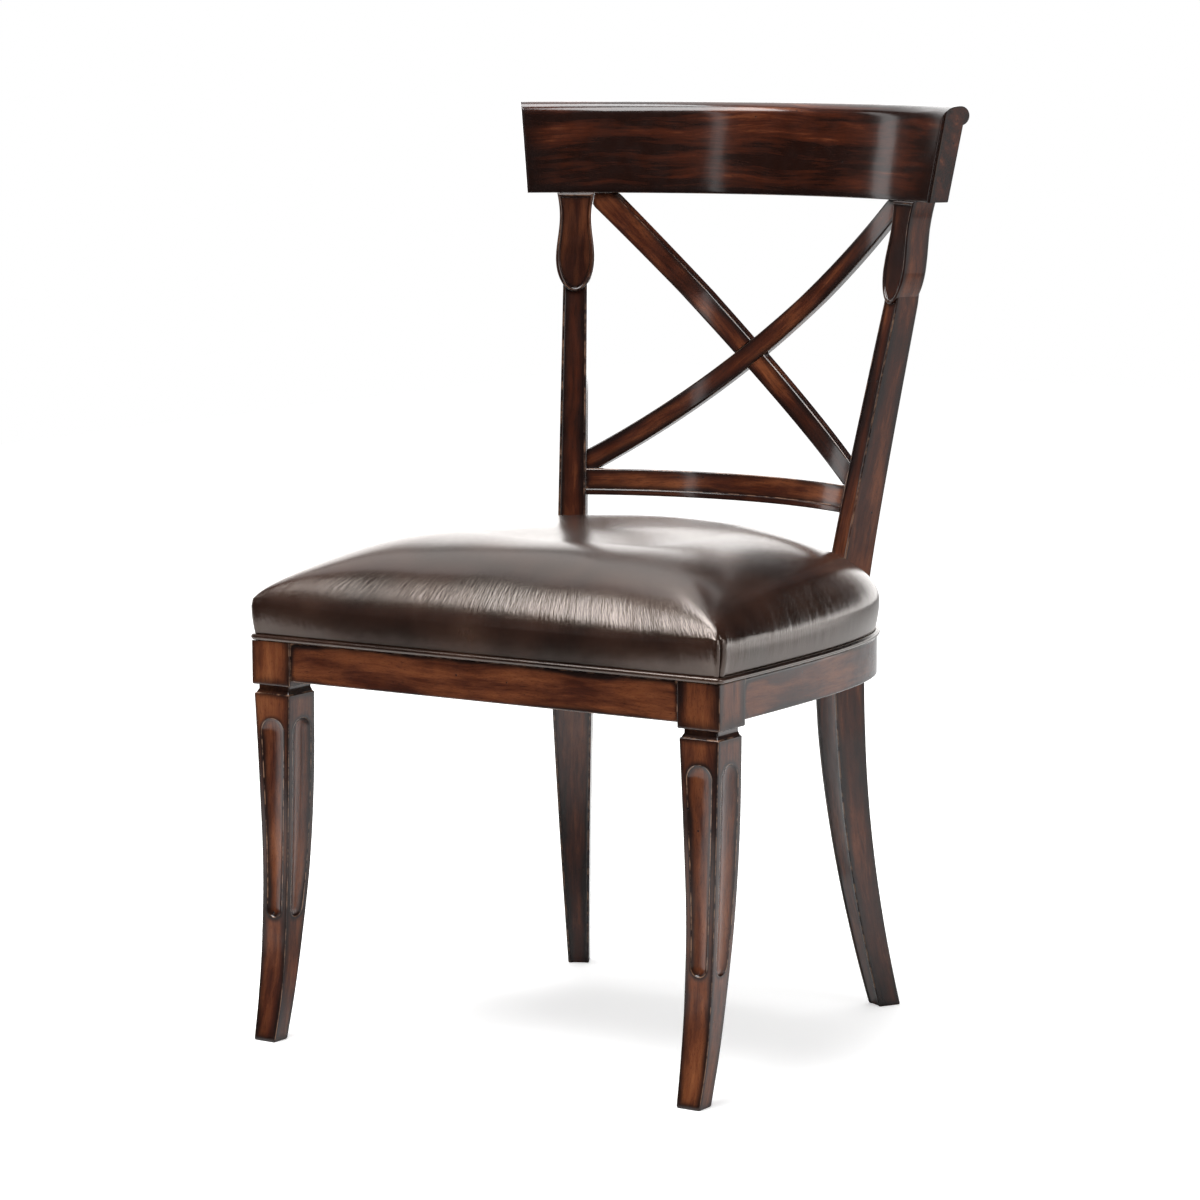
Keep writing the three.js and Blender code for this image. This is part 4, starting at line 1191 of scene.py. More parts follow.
    def outline(self, steps: int = 40) -> Array:
        """Half of the paddle's outline, from the tip up to the top corner.

        A quarter ellipse rises from the tip to the widest place, a cubic curve goes in to the
        neck, and a parabola flares out under the crest rail.

        Args:
            steps: steps of the ellipse, twice those of each curve above it.

        Returns:
            Points of x and z.
        """
        widest = self.back.head_height + self.paddle_rise
        neck = self.crest_bottom - self.neck_drop
        turn = quarter(steps)
        share = spaced(0, 1, steps // 2)[1:]
        low = stacked(self.paddle_half * np.sin(turn), widest - self.paddle_rise * np.cos(turn))
        side = smooth_step(0, 1, share)
        waist = stacked(
            mix(self.paddle_half, self.paddle_neck_half, side), mix(widest, neck, share)
        )
        head = stacked(
            mix(self.paddle_neck_half, self.paddle_top_half, share**2),
            mix(neck, self.crest_bottom - self.crest_gap, share),
        )
        return np.concatenate([low, waist, head])

    def paddle_levels(self) -> tuple[Array, Array]:
        """How far each ring of the paddle is drawn in, and how deep it lies.

        From the field's middle the rings go out over the incised line and the half-round bead
        of the rim, then back along the paddle's side and over its rear edge.

        Returns:
            Metres in from the outline, and metres behind the front.
        """
        rim, depth = self.rim_fall, self.paddle_depth
        over, arc = spaced(0, math.pi, 16), quarter(5)
        groove = self.rim_width + self.groove_width * spaced(1, 0, 8)[:-1]
        groove_level = self.field_sink + self.groove_depth * np.sin(spaced(0, math.pi, 8)[:-1])
        side_level = spaced(rim, depth - rim, 8)[1:-1]
        drawn = np.concatenate([
            self.paddle_rings, groove, self.rim_width / 2 * (1 + np.cos(over)),
            np.zeros_like(side_level), rim * (1 - np.cos(arc)), self.paddle_rings[2::-2],
        ])
        level = np.concatenate([
            [self.field_sink] * 3, groove_level, rim * (1 - np.sin(over)),
            side_level, depth - rim + rim * np.sin(arc), [depth] * 2,
        ])
        return drawn, level

    def paddle(self) -> Piece:
        """The paddle: its outline drawn in over a rounded rim, an incised line and a flat field.

        Returns:
            The painted shell.
        """
        right = self.outline()
        left = right[1:][::-1] * np.array([-1, 1])
        across = spaced(self.paddle_top_half, -self.paddle_top_half, 12)[1:-1]
        loop = np.concatenate([right, stacked(across, right[-1, 1]), left])
        tip, top = self.back.head_height, self.crest_bottom
        middle = (tip + top) / 2
        drawn, level = self.paddle_levels()
        in_x = np.maximum(1 - drawn / self.paddle_half, self.least_share)
        in_z = np.maximum(1 - 2 * drawn / (top - tip), self.least_share)
        x = loop[None, :, 0] * in_x[:, None]
        z = middle + (loop[None, :, 1] - middle) * in_z[:, None]
        plane = self.back.radius(tip) + self.back.head_rake * (z - tip)
        y = plane - self.paddle_proud + level[:, None]
        in_groove = np.abs(drawn - self.rim_width - self.groove_width / 2) + self.groove_edge
        along_rim = np.minimum(np.abs(drawn - self.rim_width / 2) + self.rim_edge, in_groove)
        back_rim = np.minimum(level, self.paddle_depth - level)
        edge = np.where(drawn > 0, np.minimum(along_rim, self.field_edge), back_rim)[:, None]
        skin = Skin(self.back.beside_post(self.side, x, y, z))
        grain = (z, x + self.grain_shift * self.side.value, y - plane)
        return skin.painted(f"rear_leg_paddle_{self.side.tag}", grain, edge)

    def build(self) -> Piece:
        """Joins shaft and paddle into the one piece they are cut from, and dresses it.

        Returns:
            The finished piece.
        """
        piece = joined(f"rear_leg_wood_{self.side.tag}", [self.shaft(), self.paddle()])
        return dressed(piece, self.finish, "stained_wood", f"rear_leg_{self.side.tag}")


@dataclass
class CrestRail:
    """The curved crest board with a rolled top edge that scrolls backwards."""

    back: BackShape
    finish: Finish
    bottom: float = 0.838
    top: float = 0.935
    lead: float = 0.0016
    foot_thickness: float = 0.0225
    head_thickness: float = 0.0155
    scroll_radius: float = 0.0098
    scroll_lead: float = 0.00315
    shoulder_drop: float = 0.013
    half_angle: float = math.asin(0.6214 * 0.2765 / 0.350) + math.radians(7.2)
    flare_share: float = 0.022
    arris: float = 0.0013
    end_round: float = 0.0034
    end_insets: Triple = (0.0007, 0.0018, 0.0038)
    square_height: float = 0.02
    kept_share: float = 0.04
    foot_reach: float = 0.004
    plain_edge: float = 0.02
    end_edge: float = 0.0009
    end_glaze_share: float = 0.30
    inset_glaze_share: float = 5
    grain_lean_share: float = 0.6

    def face(self, height: Array) -> Array:
        """Radius of the front face at each height."""
        return self.back.radius(height) - self.lead

    def profile(self) -> tuple[Array, Array]:
        """The section's radius and height: front face, quadratic shoulder, scroll, back face.

        Returns:
            Radius and height of the points round the section.
        """
        a, turn = self.arris, quarter(4)
        scroll_height = self.top - self.scroll_radius
        back_foot = self.face(self.bottom) + self.foot_thickness
        scroll_x = self.face(scroll_height) + self.head_thickness + self.scroll_lead
        foot_front = stacked(
            self.face(self.bottom + a) + a * (1 - np.sin(turn)), self.bottom + a * (1 - np.cos(turn))
        )
        low = self.top - self.shoulder_drop
        face_height = spaced(self.bottom + a, low, 26)[1:-1]
        t = spaced(0, 1, 18)[:, None]
        start, bend, end = (
            np.array(point)
            for point in ((self.face(low), low), (self.face(self.top), self.top), (scroll_x, self.top))
        )
        shoulder = (1 - t) ** 2 * start + 2 * t * (1 - t) * bend + t**2 * end
        last = -math.acos(min(self.scroll_lead / self.scroll_radius, 1))
        angle = spaced(math.pi / 2, last, 26)[1:]
        scroll = stacked(
            scroll_x + self.scroll_radius * np.cos(angle),
            scroll_height + self.scroll_radius * np.sin(angle),
        )
        foot = np.array([back_foot, self.bottom + a])
        rear = mix(scroll[-1], foot, spaced(0, 1, 20)[1:-1, None])
        foot_back = stacked(
            back_foot - a * (1 - np.cos(turn)), self.bottom + a * (1 - np.sin(turn))
        )
        under = stacked(mix(back_foot - a, foot_front[0, 0], spaced(0, 1, 8)[1:-1]), self.bottom)
        section = np.concatenate([
            foot_front, stacked(self.face(face_height), face_height), shoulder, scroll, rear,
            foot_back, under,
        ])
        return section[:, 0], section[:, 1]

    def end_rows(self, radius: Array, height: Array) -> tuple[Array, Array]:
        """Rows of an end face, each the section drawn in along its own inward normals.

        Near the foot the rows are held inside straight lines, so that its corners stay square.

        Args:
            radius: the end section's radius, point by point.
            height: its height.

        Returns:
            Radius and height of the rows, the innermost first.
        """
        section = stacked(radius, height)
        along = np.roll(section, -1, axis=0) - np.roll(section, 1, axis=0)
        along /= np.linalg.norm(along, axis=1, keepdims=True)
        drawn = np.array(self.end_insets)[::-1, None]
        reach = radius + along[:, 1] * drawn
        level = np.maximum(height - along[:, 0] * drawn, self.bottom + drawn)
        front = self.face(height) + self.end_round
        back = self.face(height) + self.foot_thickness
        low = height < self.bottom + self.square_height
        reach = np.where(low, np.clip(reach, front + drawn, back - drawn), reach)
        return mix(reach, radius, self.kept_share), mix(level, height, self.kept_share)

    def build(self) -> Piece:
        """Carries the section round the back axis; at both ends the front face rolls back.

        Returns:
            The finished piece.
        """
        radius, height = self.profile()
        span = float(self.back.radius(self.bottom))
        arc = self.end_round / span
        turn = quarter(6)[1:]
        inner = self.half_angle - arc
        end = inner + arc * np.sin(turn)
        angle = np.concatenate([-end[::-1], spaced(-inner, inner, 120), end])
        bevel = np.zeros_like(angle)
        bevel[-len(end):] = self.end_round * (1 - np.cos(turn))
        bevel[: len(end)] = bevel[-len(end):][::-1]
        reach = np.maximum(radius, self.face(height) + bevel[:, None])
        level = np.broadcast_to(height, reach.shape)
        end_reach, end_level = self.end_rows(reach[0], height)
        reach = np.concatenate([end_reach, reach, end_reach[::-1]])
        level = np.concatenate([end_level, level, end_level[::-1]])
        rings = len(self.end_insets)
        angle = np.pad(angle, rings, "edge")[:, None]
        flare = 1 + self.flare_share * (level - self.bottom) / (self.top - self.bottom)
        into = reach - self.face(level)
        to_end = (self.half_angle - np.abs(angle)) * span
        to_foot = np.where(into < self.foot_reach, level - self.bottom, self.plain_edge)
        edge = np.minimum(to_foot, to_end * self.end_glaze_share + self.end_edge)
        edge[-rings:] = np.array(self.end_insets)[:, None] * self.inset_glaze_share
        edge[:rings] = edge[-rings:][::-1]
        skin = Skin(self.back.around(angle * flare, reach, level), flat_ends=True)
        grain = (angle * self.back.radius(level), level + self.grain_lean_share * into, into)
        piece = skin.painted("crest_rail_wood", grain, edge, 30)
        return dressed(piece, self.finish, "stained_wood", "crest_rail")


@dataclass
class LowerBackRail:
    """The curved rail between the posts, with a lip along its lower edge."""

    back: BackShape
    leg: RearLeg
    finish: Finish
    bottom: float = 0.5194
    top: float = 0.5466
    thickness: float = 0.017
    lip: float = 0.005
    lip_depth: float = 0.0014
    lip_edge: float = 0.0004
    arris: float = 0.0012
    gap: float = 0.0003
    end_edge: float = 0.0006
    grain_shift: float = 1.3
    crowding_share: float = 0.25

    def section(self) -> tuple[Array, Array]:
        """The section: how far it lies behind the front face, and its height.

        Returns:
            Set-back and height of the points up the front, over the top and down the back.
        """
        a, turn = self.arris, quarter(4)
        rise, fall = a * (1 - np.cos(turn)), a * (1 - np.sin(turn))
        deep, step, rear = self.lip_depth, self.bottom + self.lip, self.thickness
        set_back = np.concatenate([
            fall, [0.0] * 3, deep - deep * np.cos(turn), [deep] * 7, deep + rise,
            spaced(deep + a, rear - a, 6)[1:-1], rear - fall, [rear] * 7, rear - rise,
            spaced(rear - a, a, 6)[1:-1],
        ])
        height = np.concatenate([
            self.bottom + rise, spaced(self.bottom + a, step, 4)[1:-1],
            step + deep * np.sin(turn), spaced(step + deep, self.top - a, 8)[1:-1],
            self.top - fall, [self.top] * 5, self.top - rise,
            spaced(self.top - a, self.bottom + a, 8)[1:-1], self.bottom + fall, [self.bottom] * 5,
        ])
        return set_back, height

    def build(self) -> Piece:
        """Carries the rail's section round the back axis from post to post.

        Returns:
            The finished piece.
        """
        set_back, height = self.section()
        radius = self.back.radius(height) + set_back
        width, _ = self.leg.widths(height)
        end = self.back.rear_turn - np.arcsin((width / 2 + self.gap) / radius)
        crowded = np.sin(spaced(-math.pi / 2, math.pi / 2, 64)) * self.crowding_share
        share = (crowded + spaced(-1, 1, 64) * (1 - self.crowding_share))[:, None]
        angle = share * end
        lip_top = self.bottom + self.lip + self.lip_depth
        front = np.minimum(
            np.minimum(height - self.bottom, self.top - height),
            np.abs(height - lip_top) + self.lip_edge,
        )
        flat = np.minimum(set_back, self.thickness - set_back)
        on_face = set_back < self.lip_depth + self.arris
        on_face |= set_back > self.thickness - self.arris
        to_end = (1 - np.abs(share)) * (end * radius)
        edge = np.minimum(np.where(on_face, front, flat), to_end + self.end_edge)
        skin = Skin(self.back.around(angle, radius, height))
        grain = (angle * radius + self.grain_shift, height, set_back)
        piece = skin.painted("lower_back_rail_wood", grain, edge)
        return dressed(piece, self.finish, "stained_wood", "lower_back_rail")


@dataclass
class BackSlats:
    """Two slats that cross, halved into each other, bowed a little down between their ends."""

    back: BackShape
    leg: RearLeg
    finish: Finish
    cross_height: float = 0.5466 + 0.428 * (0.838 - 0.5466)
    bow_radius: float = 1.0
    low_beyond: float = 0.014
    high_beyond: float = 0.034
    rail_top: float = 0.5466
    crest_bottom: float = 0.838
    width: float = 0.023
    thickness: float = 0.012
    set_back: float = 0.005
    ease: float = 0.0016
    gap: float = 0.0003
    tool_beyond: float = 0.004
    end_edge: float = 0.002
    grain_shift: float = 2.1

    def reach(self) -> Pair:
        """How far the low and the high end of a slat run from the middle of the chair."""
        spread = self.back.waist_radius * math.sin(self.back.rear_turn)
        return spread + self.low_beyond, spread + self.high_beyond

    def line(self, sign: int, x: Array) -> tuple[Array, Array, Array]:
        """A slat's middle line, cross_height + sign * slope * x + x^2 / (2 * bow_radius).

        Args:
            sign: +1 for the slat that rises to the right, -1 for the other.
            x: places across the chair.

        Returns:
            The line's height, its tilt, and its length for each metre of x.
        """
        slope = sign * (self.crest_bottom - self.rail_top) / sum(self.reach())
        tilt = slope + x / self.bow_radius
        return self.cross_height + slope * x + x**2 / (2 * self.bow_radius), tilt, np.hypot(tilt, 1)

    def strip(self, sign: int, grow: float, near: float, far: float, steps: int) -> Skin:
        """A strip that stands across a slat's line, on the back's surface, as a grid.

        Args:
            sign: +1 for the slat that rises to the right, -1 for the other.
            grow: clearance added on both long sides.
            near: depth of its front below the slats' front surface.
            far: depth of its back.
            steps: flats along the slat.

        Returns:
            The strip's surface.
        """
        low, high = self.reach()
        x = spaced(-low * sign, high * sign, steps)[:, None]
        line, tilt, length = self.line(sign, x)
        half, front, rear, ease = np.array([[self.width / 2 + grow], [near], [far], [self.ease]])
        ring = BoxRing.around(
            half, front, rear, ease,
            straight_run(half - ease, 14), straight_run((rear - front) / 2 - ease, 8),
        )
        sideways = x - tilt / length * ring.x
        height = line + ring.x / length
        radius = self.back.radius(height) + self.set_back + ring.y
        y = self.back.axis_y + np.sqrt(radius**2 - sideways**2)
        return Skin(stacked(sideways, y, height))

    def trimmed(self, points: Array) -> Array:
        """Ends cut off square against the posts, the lower rail and the crest rail.

        Args:
            points: the strip's grid.

        Returns:
            The grid with all that would lie inside a neighbour laid flat against its face.
        """
        result = points.copy()
        height = np.clip(points[..., 2], self.rail_top + self.gap, self.crest_bottom - self.gap)
        result[..., 2] = height
        outline = self.leg.outline()
        width, _ = self.leg.widths(height)
        paddle = np.interp(height, outline[:, 1], outline[:, 0], left=0.0)
        limit = np.maximum(width / 2, paddle) + self.gap
        for side in Side:
            across, out = self.back.seen_from_post(side, result, self.back.axis_y)
            shifted = self.back.beside_post(side, np.minimum(across, -limit), out, height)
            result = np.where((across > -limit)[..., None], shifted, result)
        return result

    def fields(self, sign: int, points: Array) -> tuple[Array, Array]:
        """Grain and distance to the arrises at any points of a slat, from their place alone.

        Args:
            sign: +1 for the slat that rises to the right, -1 for the other.
            points: the slat's corners.

        Returns:
            The values of the grain and edge attributes.
        """
        x, height = points[:, 0], points[:, 2]
        line, _, length = self.line(sign, x)
        across = (height - line) / length
        radius = np.hypot(x, points[:, 1] - self.back.axis_y)
        depth = radius - self.back.radius(height) - self.set_back
        to_side = self.width / 2 - np.abs(across)
        to_face = np.minimum(depth, self.thickness - depth)
        ends = np.minimum(height - self.rail_top, self.crest_bottom - height)
        edge = np.minimum(np.maximum(to_side, to_face), ends + self.end_edge)
        return stacked(x * length + self.grain_shift * sign, across, depth), edge

    def build(self) -> list[Piece]:
        """Makes both slats, each with the other's lap cut out.

        Returns:
            The two finished pieces.
        """
        pieces = []
        lap = self.thickness / 2
        for name, sign, near, far in (
            ("back_slat_front", 1, lap - self.gap / 2, self.thickness + self.tool_beyond),
            ("back_slat_rear", -1, -self.tool_beyond, lap + self.gap / 2),
        ):
            skin = self.strip(sign, 0, 0, self.thickness, 110)
            piece = Skin(self.trimmed(skin.points)).build(f"{name}_wood")
            carve(piece, self.strip(-sign, self.gap, near, far, 24).build("lap_tool"))
            shade_smooth(piece, 38)
            paint_grain(piece, *self.fields(sign, corners_of(piece.data)))
            pieces.append(dressed(piece, self.finish, "stained_wood", name))
        return pieces


@dataclass
class SeatPlan:
    """The seat's outline: a straight front, the sides' cubic curves, and the arc of the back."""

    back: BackShape
    front: float = -0.1202
    half_width: float = 0.2765
    back_radius: float = 0.350
    rail_inset: float = 0.0015
    block_width: float = 0.0474
    block_depth: float = 0.0468
    knee_width: float = 0.042
    front_handle: float = 0.240
    back_handle: float = 0.076
    front_crowding_share: float = 0.35
    gap: float = 0.0003

    @property
    def middle(self) -> Array:
        """The seat's middle, in the back axis's own frame."""
        return np.array([0.0, (self.back_radius + self.front) / 2])

    def to_corner(self, points: Array) -> Array:
        """Distance of points from the nearer front corner."""
        return np.hypot(self.half_width - np.abs(points[:, 0]), points[:, 1] - self.front)

    def side_curve(self, share: Array) -> tuple[Array, Array]:
        """Points and outward normals of the right side rail's outer face, front to back.

        A cubic Bezier curve leaves the front block straight back and meets the rear leg square.

        Args:
            share: places on the curve, from 0 at the block to 1 at the rear leg.

        Returns:
            Points and normals in the back axis's own frame.
        """
        cos, sin = math.cos(self.back.rear_turn), math.sin(self.back.rear_turn)
        across = np.array([cos, -sin])
        leg_face = self.knee_width / 2 + self.gap
        end = leg_face * across + self.back_radius * np.array([sin, cos])
        start_y = self.front + self.block_depth
        side_x = self.half_width - self.rail_inset
        controls = np.array([
            [side_x, start_y + self.gap],
            [side_x, start_y + self.front_handle],
            end + self.back_handle * across,
            end,
        ])
        t = np.asarray(share, float)[:, None]
        s = 1 - t
        weights = np.concatenate([s**3, 3 * t * s**2, 3 * t**2 * s, t**3], 1)
        slopes = np.concatenate(
            [-3 * s**2, 3 * s**2 - 6 * t * s, 6 * t * s - 3 * t**2, 3 * t**2], 1
        )
        along = slopes @ controls
        along /= np.linalg.norm(along, axis=1, keepdims=True)
        return weights @ controls, stacked(along[:, 1], -along[:, 0])

    def half_loop(self, corner: float, counts: Counts) -> tuple[Array, Array]:
        """The right half of the outline from the front's middle to the back's middle.

        Args:
            corner: radius of the front corner.
            counts: flats on the front edge, the corner, the side and the back arc.

        Returns:
            Points and outward normals, both with the two ends included.
        """
        centre = np.array([self.half_width - corner, self.front + corner])
        share = spaced(0, 1, counts[0])[:-1]
        share = mix(share, 1 - (1 - share) ** 2, self.front_crowding_share)
        front = stacked(share * centre[0], self.front)
        angle = spaced(-math.pi / 2, 0, counts[1])
        bend_normal = stacked(np.cos(angle), np.sin(angle))
        bend = centre + corner * bend_normal
        block = spaced(bend[-1, 1], self.front + self.block_depth, 14)[1:]
        short = stacked(self.half_width, block)
        share = spaced(0, 1, counts[2])[1:]
        side, side_normal = self.side_curve(share)
        side = side + side_normal * (self.rail_inset * (1 - share))[:, None]
        start = math.atan2(side[-1, 0], side[-1, 1])
        angle = spaced(start, 0, counts[3])[1:]
        arc_normal = stacked(np.sin(angle), np.cos(angle))
        points = np.concatenate([front, bend, short, side, self.back_radius * arc_normal])
        normals = np.concatenate([
            np.broadcast_to([0.0, -1.0], front.shape), bend_normal,
            np.broadcast_to([1.0, 0.0], short.shape), side_normal, arc_normal,
        ])
        return points, normals

    def loop(self, corner: float, counts: Counts) -> tuple[Array, Array]:
        """The whole outline, closed, anticlockwise from above, in the back axis's own frame.

        Args:
            corner: radius of the front corner.
            counts: flats, as in half_loop.

        Returns:
            Points and outward normals.
        """
        flip = np.array([-1.0, 1.0])
        points, normals = (
            np.concatenate([half, half[1:-1][::-1] * flip])
            for half in self.half_loop(corner, counts)
        )
        return points, normals


@dataclass
class SeatFrame:
    """The front, side and back rails of the seat frame."""

    plan: SeatPlan
    leg: RearLeg
    finish: Finish
    bottom: float = 0.367
    top: float = 0.4065
    thickness: float = 0.025
    arris: float = 0.0013

    def sweep(self, node: str, tag: str, path: Array, normals: Array, shift: float) -> Piece:
        """Carries the rail's rounded section along the line of its outer face.

        Args:
            node: the node that the piece stands for, less its tag.
            tag: the ending of the names of node and piece.
            path: points of the outer face's line, in the back axis's frame.
            normals: outward normals of that line.
            shift: moves the grain, so that no two rails look alike.

        Returns:
            The finished piece.
        """
        half, deep, front = np.array([[(self.top - self.bottom) / 2], [self.thickness / 2], [0.0]])
        ring = BoxRing.around(
            half, front, 2 * deep, front + self.arris,
            straight_run(half - self.arris, 20), straight_run(deep - self.arris, 10),
        )
        up, inwards = ring.x[0], ring.y[0]
        flat = path[:, None] - normals[:, None] * inwards[:, None]
        height = (self.bottom + self.top) / 2 + up
        run = run_along(path)[:, None]
        round_ = np.maximum(half - np.abs(up), deep - np.abs(inwards - deep))
        edge = np.minimum(round_, np.minimum(run, run[-1] - run))
        skin = Skin(stacked(flat[..., 0], flat[..., 1] + self.plan.back.axis_y, height))
        piece = skin.painted(f"{node}_wood{tag}", (run + shift, up, inwards), edge)
        return dressed(piece, self.finish, "stained_wood", node + tag)

    def build(self) -> list[Piece]:
        """Makes the four rails.

        Returns:
            The finished pieces.
        """
        plan = self.plan
        half_length = plan.half_width - plan.block_width - plan.gap
        front = stacked(spaced(-half_length, half_length, 60), plan.front + plan.rail_inset)
        facing = np.broadcast_to([0.0, -1.0], front.shape)
        pieces = [self.sweep("front_seat_rail", "", front, facing, 4.0)]
        side, normals = plan.side_curve(spaced(0, 1, 60))
        for which in Side:
            flip = np.array([which.value, 1.0])
            pieces.append(self.sweep(
                "side_seat_rail", f"_{which.tag}", side * flip, normals * flip, 6.0 + which.value
            ))
        leg_face = self.leg.knee_width / 2 + plan.gap
        end = plan.back.rear_turn - math.asin(leg_face / plan.back_radius)
        angle = spaced(-end, end, 60)
        arc = stacked(np.sin(angle), np.cos(angle))
        pieces.append(self.sweep("back_seat_rail", "", plan.back_radius * arc, arc, 9.0))
        return pieces


@dataclass
class LeatherSeat:
    """The crowned leather seat: a swelling wall, a rolled edge and a long soft crown.

    Attributes:
        counts: flats of the outline on half the front, a corner, a side and half the back.
        fine_rows: flats on the wall, on the crown, and from the crown to the pole.
        coarse_rows: the same for the cloth run.
    """

    plan: SeatPlan
    leg: RearLeg
    finish: Finish
    counts: Counts = (96, 14, 132, 66)
    fine_rows: Counts = (16, 56, 22)
    coarse_rows: Counts = (5, 16, 8)
    wall_bottom: float = 0.4131
    wall_top: float = 0.4415
    wall_bulge: float = 0.0042
    crown_height: float = 0.068
    dome_height: float = 0.004
    crown_share: float = 0.52
    corner_ease_share: float = 0.45
    corner_reach: float = 0.075
    corner_lift: float = 0.005
    corner_straight_share: float = 0.8
    front_ease_share: float = 0.55
    board_top: float = 0.4191
    lid_inset: float = 0.0056
    tuck: float = 0.0035
    tuck_shares: Numbers = (1.0, 0.8, 0.35, 0.0)
    least_tuck_share: float = 0.2
    foot_sag: float = 0.0012
    notch_clear: float = 0.0013
    notch_dip: float = 0.006
    notch_dip_width: float = 0.010
    notch_dip_rise: float = 0.02
    corner_radius: float = 0.005
    corner_round: float = 0.042
    round_from: float = 0.004
    round_to: float = 0.058
    round_least: float = 0.0005
    seam_depth: float = 0.0045
    seam_half_width: float = 0.0012
    seam_shift: float = 0.0025
    seam_height: float = 0.4475
    seam_fade: float = 0.007
    lip_height: float = 0.0009
    lip_place: float = 0.006
    lip_width: float = 0.004
    roll_start: Pair = (0.002, 0.024)
    roll_end: Pair = (0.055, 0.105)
    back_calm: Pair = (0.02, 0.22)
    pucker_width: float = 0.012
    pucker_length: float = 0.09
    pucker_depth: float = 0.00020
    pucker_back_share: float = 0.25
    tight_depth: float = 0.00045
    crease_back_share: float = 0.3
    crease_seam_share: float = 0.6
    crease_seam_width: float = 0.02
    drift_height: float = 0.0007
    drift_length: float = 0.16
    drift_levels: Pair = (0.46, 0.50)
    drawn_in: float = 0.0022
    swell_cap: float = 0.005
    corner_hold_share: float = 0.6
    calm_shares: Pair = (0.55, 0.86)
    coarse_passes: int = 3
    fine_passes: int = 10
    sim_frames: int = 20

    def surface(
        self, loop: Array, normals: Array, inset: float, rows: Counts
    ) -> tuple[Array, Array]:
        """The crowned surface over an outline, row by row from the tucked foot to the pole.

        The wall swells by wall_bulge * sin(pi / 2 * share). The crown rises by sin(turn) while it
        moves in by crown_share * (1 - sqrt(1 - sin(turn)^p)), with p = 2 less a share near the
        front corners, which makes them straighter, and its plan eases towards a circle.

        Args:
            loop: the outline, in the back axis's frame.
            normals: its outward normals.
            inset: how far the whole body is drawn in.
            rows: flats on the wall, on the crown, and from the crown to the pole.

        Returns:
            The points, rows x columns x 3, and each row's distance along the profile.
        """
        middle = self.plan.middle
        half_span = (self.plan.back_radius - self.plan.front) / 2
        wall_share = spaced(0, 1, rows[0])[:, None]
        out = self.wall_bulge * np.sin(math.pi / 2 * wall_share) - inset
        wall = loop + normals * out[..., None]
        wall_z = np.broadcast_to(mix(self.wall_bottom, self.wall_top, wall_share), wall.shape[:2])
        edge = loop - normals * inset
        nearness = bell(self.plan.to_corner(edge), self.corner_reach)
        turn = quarter(rows[1])[1:, None]
        facing = np.clip(-normals[:, 1], 0, 1) ** 2 * (1 - nearness)
        power = 2 - self.corner_straight_share * nearness - self.front_ease_share * facing
        inwards = self.crown_share * (1 - np.sqrt(np.clip(1 - np.sin(turn) ** power, 0, 1)))
        offset = edge - middle
        round_ = offset / np.linalg.norm(offset, axis=1, keepdims=True) * half_span
        ease = (self.corner_ease_share * (1 - np.cos(turn)))[..., None]
        eased = offset * (1 - ease) + round_ * ease
        swell = (self.wall_bulge * np.cos(turn) * (1 - inwards / self.crown_share))[..., None]
        crown = eased * (1 - inwards)[..., None] + middle + normals * swell
        dome = self.dome_height * self.crown_share * (1 - np.cos(turn))
        lift = self.corner_lift * nearness * np.cos(turn)
        crown_z = self.wall_top + (self.crown_height - inset) * np.sin(turn) + dome + lift
        inner = spaced(0, 1, rows[2])[1:-1, None]
        cap = (crown[-1] - middle) * (1 - inner)[..., None] + middle
        bow = self.dome_height * mix(self.crown_share, 1.0, 1 - (1 - inner) ** 2)
        cap_z = self.wall_top + self.crown_height - inset + np.broadcast_to(bow, cap.shape[:2])
        flat = np.concatenate([wall, crown, cap])
        points = stacked(flat[..., 0], flat[..., 1], np.concatenate([wall_z, crown_z, cap_z]))
        steps = np.linalg.norm(np.diff(points, axis=0), axis=-1)
        return points, np.concatenate([np.zeros((1, len(loop))), np.cumsum(steps, axis=0)])

    def softened(self, points: Array, loop: Array) -> Array:
        """Rounds the plan's corners off towards the top.

        Each row becomes a weighted mean of itself along the outline. The weights are a bell curve
        whose width grows from nothing on the wall to corner_round on the crown.

        Args:
            points: the crowned surface.
            loop: the outline under it.

        Returns:
            The softened surface.
        """
        steps = np.linalg.norm(np.roll(loop, -1, axis=0) - loop, axis=1)
        run = run_along(loop)
        apart = np.abs(run[:, None] - run)
        apart = np.minimum(apart, steps.sum() - apart)
        weight = (steps + np.roll(steps, 1)) / 2
        rise = np.median(points[..., 2], axis=1) - self.wall_top
        width = self.corner_round * smooth_step(self.round_from, self.round_to, rise)
        result = points.copy()
        for row in np.flatnonzero(width > self.round_least):
            share = np.exp(-0.5 * (apart / width[row]) ** 2) * weight
            result[row] = share @ points[row] / share.sum(1, keepdims=True)
        return result

